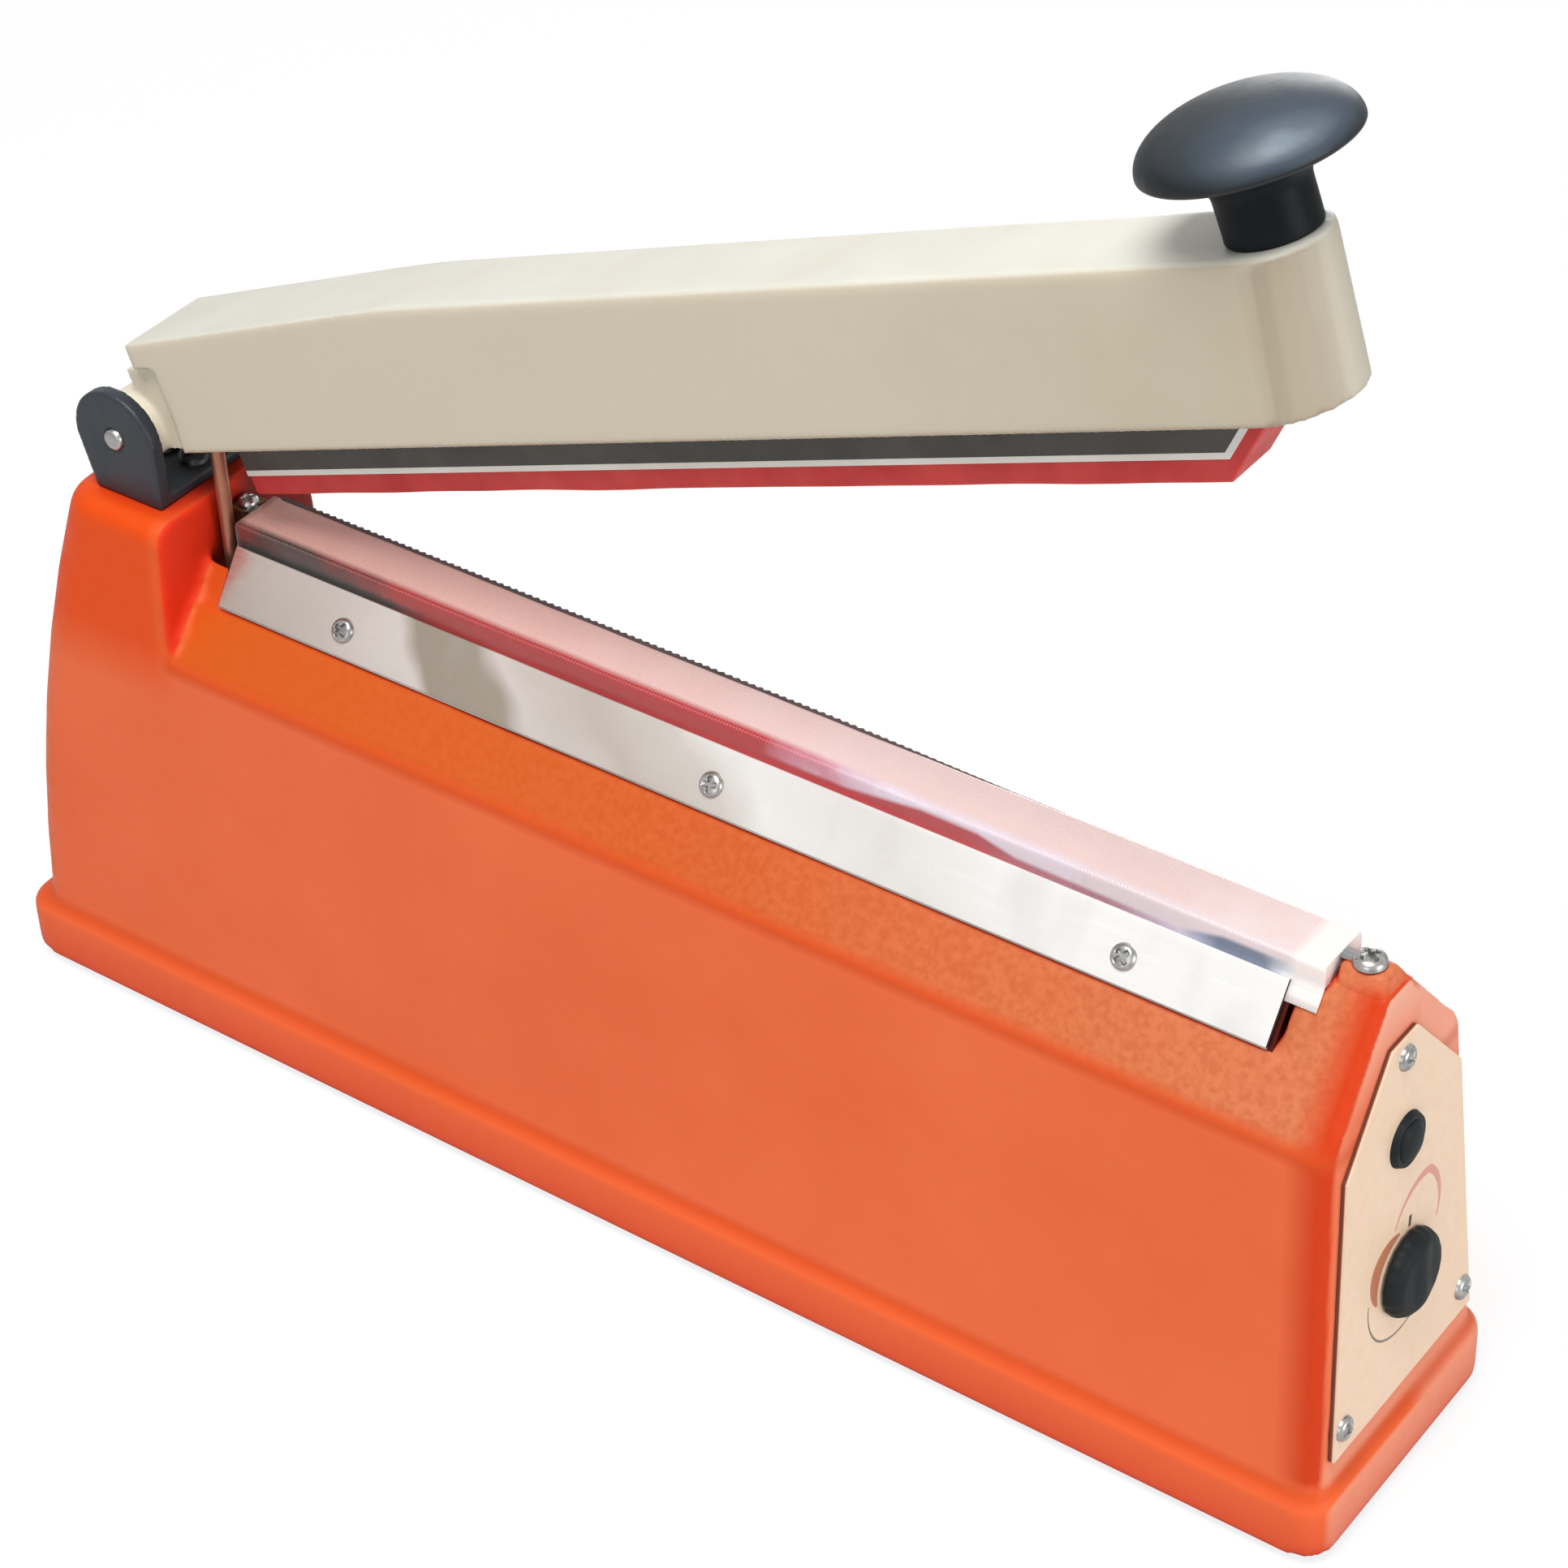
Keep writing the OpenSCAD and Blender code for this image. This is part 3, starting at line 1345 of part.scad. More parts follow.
module knob_stud() {
    color("silver") on_arm() translate([knob_u, 0, arm_above - arm_t]) mirror([0, 0, 1]) {
        cylinder(r = stud_head_r, h = stud_head_t, $fn = 6);
        translate([0, 0, -arm_t - cap_rim_h + 2 * cut])
            cylinder(r = stud_r, h = arm_t + cap_rim_h - 2 * cut);
    }
}

body_casting();
bottom_plate();
rubber_feet();
bottom_screws();
cord_gland();
end_panel();
end_panel_screws();
timer_pot();
pot_nut();
timer_board();
timer_relay();
timer_capacitor();
power_switch_body();
power_switch_nut();
jaw_bar();
jaw_screws();
insulating_strip();
heating_wire();
ptfe_cover();
front_clamp_strip();
rear_clamp_strip();
front_clamp_screws();
rear_clamp_screws();
left_terminal();
left_terminal_screw();
right_terminal();
right_terminal_screw();
hinge_bracket();
bracket_screws();
hinge_pin();
transformer_core();
transformer_coil();
transformer_strap();
strap_screws();
switch_bracket();
switch_bracket_screws();
microswitch();
microswitch_screws();
rod_bush();
return_spring();
arm_shell();
hinge_block();
hinge_block_screws();
pressure_bar();
bar_screws();
backing_strip();
silicone_strip();
press_knob();
knob_stud();
trigger_rod();
rod_collar();
switch_lever();
timer_knob();
timer_shaft();
power_button();
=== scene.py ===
"""Looks of a hand impulse sealer: painted casting, moulded press arm and heated jaw."""

import json
from math import atan, atan2, copysign, cos, hypot, pi, radians, sin, tan

import bmesh
import bpy
from mathutils import Matrix, Vector, noise


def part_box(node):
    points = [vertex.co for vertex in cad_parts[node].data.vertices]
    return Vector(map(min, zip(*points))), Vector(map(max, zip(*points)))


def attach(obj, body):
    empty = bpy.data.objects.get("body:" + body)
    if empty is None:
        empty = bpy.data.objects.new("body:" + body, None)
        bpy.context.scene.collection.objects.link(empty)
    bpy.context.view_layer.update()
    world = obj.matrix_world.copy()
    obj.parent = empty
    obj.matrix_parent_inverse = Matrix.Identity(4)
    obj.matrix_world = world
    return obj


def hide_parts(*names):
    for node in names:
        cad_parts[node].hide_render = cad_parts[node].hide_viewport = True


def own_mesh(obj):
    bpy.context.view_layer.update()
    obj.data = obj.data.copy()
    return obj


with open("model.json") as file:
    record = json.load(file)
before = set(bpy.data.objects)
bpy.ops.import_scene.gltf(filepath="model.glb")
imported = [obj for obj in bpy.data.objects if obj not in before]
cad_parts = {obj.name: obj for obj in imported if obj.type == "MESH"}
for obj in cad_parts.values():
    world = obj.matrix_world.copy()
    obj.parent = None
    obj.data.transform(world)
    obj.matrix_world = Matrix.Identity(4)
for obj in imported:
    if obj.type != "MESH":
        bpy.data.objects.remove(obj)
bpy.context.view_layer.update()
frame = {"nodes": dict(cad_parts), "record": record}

MM = 0.001
nodes = frame["nodes"]
scene = bpy.context.scene
slot_of = {row["node"]: row["material_slot"] for row in frame["record"]["subparts"]}

# Sizes of the casting, in millimetres from the flange's hinge end and underside
BODY_L = 325
BODY_W = 64
FLANGE_H = 13.5
FLANGE_STEP = 2.2
CREASE_H = 89
APEX_H = 118
CREASE_W = 48.4
END_LEAN = 3.8
SHOULDER_H = 121
SHOULDER_L = 49
BOSS_X = (14, 311)
BOSS_Y = 23.6

# Sizes of the jaw
SEAT_H = 100.5
SEAT_END = 306.6
JAW_START = 55
JAW_END = 301
JAW_MID = (JAW_START + JAW_END) / 2
JAW_L = JAW_END - JAW_START
JAW_H = 11
JAW_TOP_W = 12
JAW_FOOT_W = 28
INSULATOR_H = 4.6
COVER_T = 0.3
COVER_FLAP = 4.4
COVER_START = 55.1
FLAP_START = 56.3
COVER_END = 306.2
TONE_START = 70
CLAMP_START = 56
CLAMP_END = 300
CLAMP_W = 12.8
CLAMP_T = 0.8
CLAMP_SCREW_X = [JAW_MID + i * JAW_L * 0.37 for i in (-1, 0, 1)]
CLAMP_SCREW_S = 5.58
STRIP_TOP = COVER_T + CLAMP_T
JAW_TOP = SEAT_H + JAW_H
RIDGE_H = JAW_TOP + INSULATOR_H + COVER_T
SLOPE_A = atan2(JAW_H, (JAW_FOOT_W - JAW_TOP_W) / 2)
SLOPE_L = hypot(JAW_H, (JAW_FOOT_W - JAW_TOP_W) / 2)

# Sizes of the seat of the heating wire's right end
TAB_X = SEAT_END + 5
TAB_H = 113.2
TAB_T = 2.6
TAB_L = 8.8

# Sizes of the arm, from the hinge pin
PIVOT_X = 34.5
PIVOT_H = 134.5
OPEN_A = 20.4
PIN_R = 2.25
PIN_L = 33.6
BAR_START = 24
BAR_END = 261.5
BAR_LOW = 12
BAR_DROP = 6
BACKING_T = 1.2
SILICONE_T = 4.6
SILICONE_W = 13
PAD_TRIM = 3.4
KNOB_U = 277
ARM_ABOVE = 22.7
ARM_BELOW = 5.6
END_TUCK = 3.6
TUCK_FROM = KNOB_U - 13
TUCK_TO = KNOB_U + 9
KNOB_SHIFT = 1.4
CAP_R = 19
CAP_RIM_H = 15
CAP_DOME = 9
STEM_R = 9
NECK_R = 8.2

# Sizes of the rod's spring
SPRING_R = 3.4
SPRING_WIRE_R = 0.5
SPRING_TURNS = 7

# Sizes of the controls: heights on the end face, thicknesses along its normal
PANEL_T = 1.2
PANEL_RIM = 4
PANEL_ROOF_RIM = 6.6
PANEL_FOOT_RIM = 7.5
PANEL_TOP_W = 9
TIMER_H = 48.5
TIMER_R = 8.8
TIMER_T = 5
TIMER_GAP = 0.3
SHAFT_R = 3
BUTTON_H = 79.5
BEZEL_T = 1.2
BUTTON_R = 4
BUTTON_PROUD = 2
PRINT_LOW = PANEL_T - 0.02
PRINT_HIGH = PANEL_T + 0.03

# Sizes of the screws: shank radius and length, head radius and height
PANEL_SCREW = (1.3, 5.2, 2.6, 1.3)
STRIP_SCREW = (1.3, 4.5, 2.6, 1.3)
LEFT_SCREW = (1.3, 5, 2.21, 1.3)
RIGHT_SCREW = (1.5, 5.9, 3.21, 1.82)
BRACKET_SCREW = (2, 9.5, 3.5, 2)
BOTTOM_SCREW = (1.5, 12, 3, 1.3)

# Places of the screws, the panel's from its edges and the bracket's from the hinge pin
PANEL_SCREW_TOP = 4.2
PANEL_SCREW_FOOT = 6
PANEL_SCREW_SIDE = 4
LEFT_SCREW_X = 51.8
LEFT_SCREW_Y = 1.6
TERMINAL_H = 116.1
BRACKET_SCREW_U = (-3.15, 5.25)
BRACKET_T = 2.5

casting_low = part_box("body_casting")[0]
ORIGIN = Vector((casting_low.x, 0, casting_low.z))
END_A = atan(END_LEAN / (CREASE_H - FLANGE_H))
ROOF_A = atan((APEX_H - CREASE_H) / (CREASE_W / 2))


def at(x, y, h):
    """A place on the standing object, from millimetres."""
    return ORIGIN + Vector((x, y, h)) * MM


def x_of(x):
    """A place along the object in metres, from millimetres."""
    return at(x, 0, 0).x


def z_of(h):
    """A height in metres, from millimetres."""
    return at(0, 0, h).z


def standing(x, y, h):
    """An upright frame at a place on the object."""
    return Matrix.Translation(at(x, y, h))


ARM = standing(PIVOT_X, 0, PIVOT_H) @ Matrix.Rotation(radians(-OPEN_A), 4, "Y")


def on_arm(u, y, v):
    """A place on the arm: along it, across it and up from the hinge pin."""
    return ARM @ (Vector((u, y, v)) * MM)


def at_end(y, h):
    """The end face's frame: x runs down the face and z out of it."""
    x = BODY_L - FLANGE_STEP - (h - FLANGE_H) * END_LEAN / (CREASE_H - FLANGE_H)
    return standing(x, y, h) @ Matrix.Rotation(pi / 2 - END_A, 4, "Y")


FRONT_SLOPE = standing(0, -JAW_FOOT_W / 2, SEAT_H) @ Matrix.Rotation(SLOPE_A, 4, "X")
MIRROR_Y = Matrix.Diagonal((1, -1, 1, 1))
SLOPES = {"front": FRONT_SLOPE, "rear": MIRROR_Y @ FRONT_SLOPE}


def shift(x, y, z):
    return Matrix.Translation(Vector((x, y, z)) * MM)


def on_ring(place, r, a, z):
    """A place on a ring about z of a frame."""
    return place @ (Vector((r * cos(a), r * sin(a), z)) * MM)


def wander(place, pitch, seed):
    """A smooth uneven value between about -1 and 1."""
    return noise.noise(Vector((place * pitch, seed, 0)))


def smoothstep(low, high, value):
    t = min(max((value - low) / (high - low), 0), 1)
    return t * t * (3 - 2 * t)


# Range that most noise values fall in, the wave texture's own scale, and streaks of drawn metal
NOISE_SPREAD = (0.3, 0.7)
WAVE_SCALE = 20
STREAK = (20, 700, 700)
STREAK_DEPTH = 0.00001


def srgb(*levels):
    """The linear colour of an 8-bit display colour."""
    shares = [level / 255 for level in levels]
    linear = [s / 12.92 if s < 0.04 else ((s + 0.055) / 1.055) ** 2.4 for s in shares]
    return (*linear, 1)


def add_node(tree, kind, inputs=None, **settings):
    """A shader node with its settings, each input linked or set."""
    made = tree.nodes.new(kind)
    for name, value in settings.items():
        setattr(made, name, value)
    for socket, value in (inputs or {}).items():
        if isinstance(value, bpy.types.NodeSocket):
            tree.links.new(value, made.inputs[socket])
        else:
            made.inputs[socket].default_value = value
    return made


class Finish:
    """A procedural material: one Principled shader and the nodes that drive it."""

    def __init__(self, name, **sockets):
        self.material = bpy.data.materials.new(name)
        self.material.use_nodes = True
        self.tree = self.material.node_tree
        self.shader = self.tree.nodes["Principled BSDF"]
        source = self.node("ShaderNodeTexCoord")
        self.coords = source.outputs["Object"]
        self.normal = source.outputs["Normal"]
        self.relief = None
        for socket, value in sockets.items():
            self.shader.inputs[socket.replace("_", " ")].default_value = value

    def node(self, kind, inputs=None, **settings):
        return add_node(self.tree, kind, inputs, **settings)

    def stretched(self, x, y, z):
        """Object coordinates scaled along each axis."""
        inputs = {"Vector": self.coords, "Scale": (x, y, z)}
        return self.node("ShaderNodeMapping", inputs).outputs[0]

    def noise(self, scale, detail=4, vector=None):
        inputs = {"Vector": vector or self.coords, "Scale": scale, "Detail": detail}
        return self.node("ShaderNodeTexNoise", inputs).outputs[0]

    def stray(self, scale, detail, size):
        """A noise that strays by up to a size either way."""
        return self.span(self.noise(scale, detail), *NOISE_SPREAD, -size, size)

    def cells(self, scale):
        inputs = {"Vector": self.coords, "Scale": scale}
        return self.node("ShaderNodeTexVoronoi", inputs).outputs["Distance"]

    def weave(self, pitch):
        """Crossed threads, one pitch apart, in metres."""
        scale = 2 * pi / pitch / WAVE_SCALE
        waves = []
        for axis in "XY":
            wave = self.node(
                "ShaderNodeTexWave",
                {"Vector": self.coords, "Scale": scale, "Distortion": 0.6, "Detail": 1},
                bands_direction=axis,
            )
            waves.append(wave.outputs["Fac"])
        return self.math("MULTIPLY", *waves)

    def axis(self, name, vector=None):
        split = self.node("ShaderNodeSeparateXYZ", {"Vector": vector or self.coords})
        return split.outputs[name]

    def facing(self, name):
        """How far the surface faces along an axis."""
        return self.axis(name, self.normal)

    def reach(self, vector, direction):
        """How far a vector reaches in a direction."""
        inputs = {0: vector, 1: direction}
        return self.node("ShaderNodeVectorMath", inputs, operation="DOT_PRODUCT").outputs["Value"]

    def math(self, operation, a, b=0.5):
        return self.node("ShaderNodeMath", {0: a, 1: b}, operation=operation).outputs[0]

    def span(self, value, low, high, to_low=0, to_high=1):
        """A value moved from one range to another, held at the ends."""
        inputs = {
            "Value": value, "From Min": low, "From Max": high,
            "To Min": to_low, "To Max": to_high,
        }
        return self.node("ShaderNodeMapRange", inputs).outputs[0]

    def ramp(self, fac, *stops):
        """A colour ramp through (position, colour) stops."""
        made = self.node("ShaderNodeValToRGB", {"Fac": fac})
        elements = made.color_ramp.elements
        while len(elements) < len(stops):
            elements.new(0.5)
        for element, (position, colour) in zip(elements, stops):
            element.position = position
            element.color = colour
        return made.outputs["Color"]

    def mix(self, fac, a, b):
        return self.node("ShaderNodeMix", {0: fac, 6: a, 7: b}, data_type="RGBA").outputs[2]

    def tint(self, base, colour, mask, share):
        """A colour laid over another by a mask and its share."""
        return self.mix(self.math("MULTIPLY", mask, share), base, colour)

    def colour(self, value):
        self.tree.links.new(value, self.shader.inputs["Base Color"])

    def rough(self, fac, low, high):
        value = self.span(fac, *NOISE_SPREAD, low, high)
        self.tree.links.new(value, self.shader.inputs["Roughness"])

    def bump(self, height, depth, strength=1):
        """Relief of a depth in metres, on top of any before it."""
        inputs = {"Height": height, "Distance": depth, "Strength": strength}
        if self.relief:
            inputs["Normal"] = self.relief
        self.relief = self.node("ShaderNodeBump", inputs).outputs[0]
        self.tree.links.new(self.relief, self.shader.inputs["Normal"])
        return self


def moulded(name, dark, light, rough, grain=900, depth=0.00004, **sockets):
    """Moulded or painted surface: soft cloudiness, fine grain and uneven gloss."""
    finish = Finish(name, **sockets)
    cloud = finish.noise(45, 3)
    finish.colour(finish.ramp(cloud, (0.3, srgb(*dark)), (0.7, srgb(*light))))
    finish.rough(finish.noise(130, 5), *rough)
    return finish.bump(finish.noise(grain, 3), depth)


def brushed(name, dark, light, rough):
    """Metal with fine streaks along one axis and faint handling marks."""
    finish = Finish(name, Metallic=1)
    lines = finish.noise(1, 6, finish.stretched(*STREAK))
    finish.colour(finish.ramp(lines, (0.3, srgb(*dark)), (0.7, srgb(*light))))
    finish.rough(finish.noise(160, 5), *rough)
    return finish.bump(lines, STREAK_DEPTH)


def orange_paint():
    """Stove paint on a rough casting: deeper along its crease and flange, speckled on the roof,
    with painted shade in its hollows, on the step face and at the end corner, and painted light on
    the end face and along its fillets.
    """
    finish = Finish("orange_paint", Specular_IOR_Level=0.15)
    speck = finish.noise(640, 4)
    cloud = finish.noise(22, 3)
    along = finish.axis("X")
    height = finish.axis("Z")
    wall = finish.ramp(cloud, (0.34, srgb(232, 104, 59)), (0.68, srgb(238, 111, 66)))
    flange = finish.span(height, z_of(FLANGE_H + 1), z_of(FLANGE_H - 1))
    wall = finish.tint(wall, srgb(242, 101, 50), flange, 0.6)
    hinge = finish.span(along, x_of(SHOULDER_L + 2), x_of(SHOULDER_L - 4))
    head = finish.span(height, z_of(CREASE_H - 10), z_of(CREASE_H + 4))
    wall = finish.tint(wall, srgb(230, 78, 16), hinge, head)
    reach = finish.span(along, x_of(SHOULDER_L - 4), x_of(BODY_L - 15))
    roof = finish.ramp(
        reach, (0, srgb(214, 72, 26)), (0.03, srgb(209, 89, 24)), (0.5, srgb(206, 92, 38)),
        (1, srgb(206, 120, 82)),
    )
    grain = finish.ramp(speck, (0.36, srgb(186, 80, 32)), (0.62, srgb(222, 124, 78)))
    speckled = finish.mix(finish.math("MULTIPLY", reach, 0.36), roof, grain)
    above = finish.span(height, z_of(CREASE_H - 1), z_of(CREASE_H + 2))
    beyond = finish.span(along, x_of(SHOULDER_L - 2), x_of(SHOULDER_L))
    paint = finish.mix(finish.math("MULTIPLY", above, beyond), wall, speckled)
    # Painted highlight along the concave fillets.
    fold = finish.node("ShaderNodeNewGeometry").outputs["Pointiness"]
    inner = finish.span(fold, 0.492, 0.46)
    paint = finish.tint(paint, srgb(238, 128, 78), inner, 0.6)
    outward = finish.facing("X")
    end = at_end(0, TIMER_H)
    end_normal = end.to_3x3() @ Vector((0, 0, 1))
    reach_end = finish.reach(finish.coords, end_normal)
    level = end_normal.dot(end.translation)
    corner = finish.span(reach_end, level - 9 * MM, level - 2.5 * MM)
    # Painted shade on the step face beside the shoulder.
    step_end = finish.span(along, x_of(SHOULDER_L + 8), x_of(SHOULDER_L + 4))
    shaded_step = finish.math("MULTIPLY", step_end, finish.span(outward, 0.5, 0.8))
    shaded_step = finish.math("MULTIPLY", shaded_step, head)
    paint = finish.tint(paint, srgb(228, 46, 24), shaded_step, 0.85)
    # Painted light: the end face and its rear rounded edge are paler than the walls, palest at the
    # top and paler at the foot.
    behind = finish.span(finish.axis("Y"), 2 * MM, 8 * MM)
    flat_end = finish.span(outward, 0.88, 0.98)
    turned = finish.math("MULTIPLY", behind, finish.span(outward, 0.25, 0.5))
    lit_end_face = finish.math("MULTIPLY", corner, finish.math("MAXIMUM", flat_end, turned))
    tip = finish.span(height, z_of(CREASE_H + 5), z_of(APEX_H - 6))
    rear_tip = finish.span(height, z_of(CREASE_H - 9), z_of(CREASE_H), 0, 0.7)
    tip = finish.math("MAXIMUM", tip, finish.math("MULTIPLY", rear_tip, behind))
    foot = finish.span(height, z_of(FLANGE_H + 9), z_of(FLANGE_H + 5), 0, 0.7)
    painted_end_light = finish.mix(foot, srgb(238, 124, 87), srgb(244, 156, 124))
    painted_end_light = finish.mix(tip, painted_end_light, srgb(248, 178, 152))
    paint = finish.mix(lit_end_face, paint, painted_end_light)
    # Painted shade on the rounded corner between the front wall and the end face.
    end_corner_shade = finish.math("MULTIPLY", corner, finish.span(outward, 0.97, 0.85))
    lower = finish.span(height, z_of(APEX_H - 2.5), z_of(APEX_H - 5.5))
    upper = finish.span(height, z_of(FLANGE_H + 1), z_of(FLANGE_H + 4))
    end_corner_shade = finish.math("MULTIPLY", end_corner_shade, finish.math("MULTIPLY", lower, upper))
    end_corner_shade = finish.math("MULTIPLY", end_corner_shade, finish.span(finish.axis("Y"), 8 * MM, 2 * MM))
    paint = finish.tint(paint, srgb(206, 56, 8), end_corner_shade, 0.95)
    masks = []
    for level, spread in ((CREASE_H, 2.6), (FLANGE_H + 0.6, 2.2)):
        away = finish.math("ABSOLUTE", finish.math("SUBTRACT", height, z_of(level)))
        masks.append(finish.span(away, spread * MM, 0.4 * MM))
    edges = finish.math("MAXIMUM", finish.math("MULTIPLY", masks[0], beyond), masks[1])
    edges = finish.math("MULTIPLY", edges, finish.span(outward, 0.7, 0.95, 0.75, 0.45))
    paint = finish.mix(edges, paint, srgb(208, 74, 24))
    # Painted shade in hollows and under the arm, from ambient occlusion.
    near = finish.node("ShaderNodeAmbientOcclusion", {"Distance": 0.03}, samples=8)
    hollow_shade = finish.span(near.outputs["AO"], 0.72, 0.42)
    paint = finish.tint(paint, srgb(208, 44, 20), hollow_shade, 0.8)
    # Painted shadow on the rear part of the step face.
    rear = finish.span(finish.axis("Y"), 0.5 * MM, 5 * MM, 0, 0.85)
    paint = finish.tint(paint, srgb(104, 24, 20), shaded_step, rear)
    # Deepest painted shade where the occlusion is strongest.
    finish.colour(finish.mix(finish.span(near.outputs["AO"], 0.4, 0.15), paint, srgb(104, 22, 16)))
    finish.rough(finish.noise(300, 4), 0.36, 0.54)
    finish.bump(finish.noise(420, 3), 0.00014, 0.5)
    finish.bump(speck, 0.00005, 0.6)
    return finish


def bright_steel():
    """Thin polished strip with painted reflections: grey bands at its hinge end clearing to white,
    and soft grey patches.
    """
    finish = Finish("bright_steel", Metallic=0.65)
    along = finish.span(finish.axis("X"), x_of(CLAMP_START), x_of(CLAMP_END))
    height = finish.span(finish.axis("Z"), z_of(SEAT_H), z_of(JAW_TOP), -0.03, 0.03)
    drift = finish.math("ADD", along, height)
    drift = finish.math("ADD", drift, finish.stray(30, 2, 0.035))
    # Painted reflections: grey bands along the strip, clearing to white towards its right end.
    shade = finish.ramp(
        drift, (0, srgb(188, 176, 166)), (0.21, srgb(224, 214, 208)), (0.235, srgb(168, 155, 141)),
        (0.31, srgb(172, 160, 146)), (0.335, srgb(224, 214, 208)), (0.4, srgb(204, 193, 181)),
        (0.5, srgb(222, 214, 206)), (0.54, srgb(248, 245, 241)), (0.66, srgb(240, 236, 232)),
        (0.8, srgb(255, 254, 251)),
    )
    # Painted reflection: soft grey patches over the strip.
    reflection_patches = finish.noise(1, 3, finish.stretched(70, 30, 30))
    finish.colour(finish.mix(finish.span(reflection_patches, 0.52, 0.75, 0, 0.3), shade, srgb(206, 200, 196)))
    finish.rough(finish.noise(1, 5, finish.stretched(60, 900, 900)), 0.16, 0.3)
    finish.bump(finish.noise(1, 2, finish.stretched(34, 12, 12)), 0.0008, 0.4)
    return finish.bump(finish.noise(1, 5, finish.stretched(30, 1200, 1200)), 0.00001, 0.5)


def cover_sheet():
    """Woven release sheet: white on top, showing the red strip on its front and rear, with painted
    shade and a painted red reflection at its hinge end and a painted sheen near its right end.
    """
    finish = Finish("cover_sheet", Specular_IOR_Level=0.6, Sheen_Weight=0.15)
    along = finish.span(finish.axis("X"), x_of(TONE_START), x_of(CLAMP_END))
    drift = finish.math("ADD", along, finish.stray(60, 3, 0.07))
    # Top: painted shade and a painted red reflection at the hinge end, clearing to white.
    top = finish.ramp(
        drift, (0, srgb(220, 168, 155)), (0.2, srgb(226, 176, 164)), (0.55, srgb(232, 202, 198)),
        (0.85, srgb(224, 196, 191)), (1, srgb(232, 210, 208)),
    )
    steady = finish.math("ADD", along, finish.stray(60, 3, 0.015))
    # Lower flank: painted shade at the hinge end, then the red strip, then a painted lilac sheen
    # and a painted blue-grey reflection near the right end.
    low = finish.ramp(
        steady, (0.05, srgb(38, 36, 34)), (0.11, srgb(52, 36, 35)), (0.18, srgb(164, 42, 42)),
        (0.6, srgb(180, 46, 52)), (0.7, srgb(180, 62, 68)), (0.77, srgb(168, 104, 116)),
        (0.84, srgb(156, 106, 122)), (0.9, srgb(190, 180, 200)), (0.92, srgb(150, 155, 178)),
        (0.945, srgb(108, 118, 142)), (0.98, srgb(114, 124, 146)), (1, srgb(214, 216, 222)),
    )
    # Upper flank: painted shade at the hinge end, then the red strip, then a painted pale sheen.
    high = finish.ramp(
        drift, (0.02, srgb(70, 48, 45)), (0.12, srgb(164, 46, 43)), (0.46, srgb(180, 44, 48)),
        (0.57, srgb(208, 140, 156)), (0.66, srgb(226, 213, 226)), (0.8, srgb(222, 204, 208)),
        (0.98, srgb(228, 212, 214)),
    )
    height = finish.axis("Z")
    sinking = finish.math("ADD", height, finish.span(along, 0.68, 0.9, 0.3 * MM, 1.2 * MM))
    sinking = finish.math("SUBTRACT", sinking, finish.span(along, 0.9, 0.94, 0, 2.1 * MM))
    swell = finish.span(along, 0.75, 0.715, 0, 1.9 * MM)
    swell = finish.math("MULTIPLY", finish.span(along, 0.59, 0.66), swell)
    sinking = finish.math("SUBTRACT", sinking, swell)
    rising = finish.span(sinking, z_of(JAW_TOP + 1.4), z_of(JAW_TOP + 2.4))
    lifted = finish.span(height, z_of(RIDGE_H - 0.9), z_of(RIDGE_H - 0.25))
    within = finish.span(finish.axis("Y"), -JAW_TOP_W * 0.45 * MM, -JAW_TOP_W * 0.32 * MM)
    threads = finish.weave(0.0007)
    cloth = finish.mix(finish.math("MULTIPLY", lifted, within), finish.mix(rising, low, high), top)
    tab = finish.span(finish.axis("X"), x_of(CLAMP_END - 1), x_of(CLAMP_END + 1))
    cloth = finish.mix(tab, cloth, srgb(246, 236, 232))
    finish.colour(finish.tint(cloth, srgb(250, 240, 236), threads, 0.14))
    finish.rough(finish.noise(220, 3), 0.22, 0.4)
    return finish.bump(threads, 0.00006, 0.7)


def silicone():
    """Soft red rubber with a fine cloth mark and a dusty bloom."""
    finish = Finish(
        "silicone_red", Specular_IOR_Level=0.4,
        Subsurface_Weight=0.08, Subsurface_Radius=(0.004, 0.001, 0.0008),
    )
    bloom = finish.noise(95, 5)
    finish.colour(finish.ramp(bloom, (0.3, srgb(184, 36, 36)), (0.7, srgb(204, 58, 54))))
    finish.rough(finish.noise(200, 4), 0.38, 0.6)
    return finish.bump(finish.weave(0.0011), 0.00004, 0.5)


def panel_paint():
    """Satin beige paint on a flat plate, with painted shade on its edge."""
    finish = Finish("panel_paint", Specular_IOR_Level=0.4)
    grain = finish.noise(380, 4)
    base = finish.ramp(grain, (0.3, srgb(241, 210, 180)), (0.7, srgb(245, 216, 188)))
    outward = finish.facing("X")
    foot = at_end(0, TIMER_H)
    normal = foot.to_3x3() @ Vector((0, 0, 1))
    reach = finish.reach(finish.coords, normal)
    level = normal.dot(foot.translation)
    raised = finish.span(reach, level + 0.6 * MM, level + 0.9 * MM)
    # The plate's edge faces get painted shade.
    face = finish.math("MAXIMUM", raised, finish.span(outward, 0.2, 0.6))
    finish.colour(finish.mix(face, srgb(104, 60, 42), base))
    finish.rough(finish.noise(240, 4), 0.3, 0.46)
    return finish.bump(grain, 0.00002, 0.5)


def board_green():
    """Circuit board with etched tracks under its green lacquer."""
    finish = Finish("board_green", Coat_Weight=0.3)
    tracks = finish.cells(260)
    finish.colour(finish.ramp(tracks, (0.2, srgb(34, 96, 52)), (0.5, srgb(20, 66, 36))))
    finish.rough(finish.noise(300, 3), 0.3, 0.5)
    return finish.bump(tracks, 0.00003, 0.5)


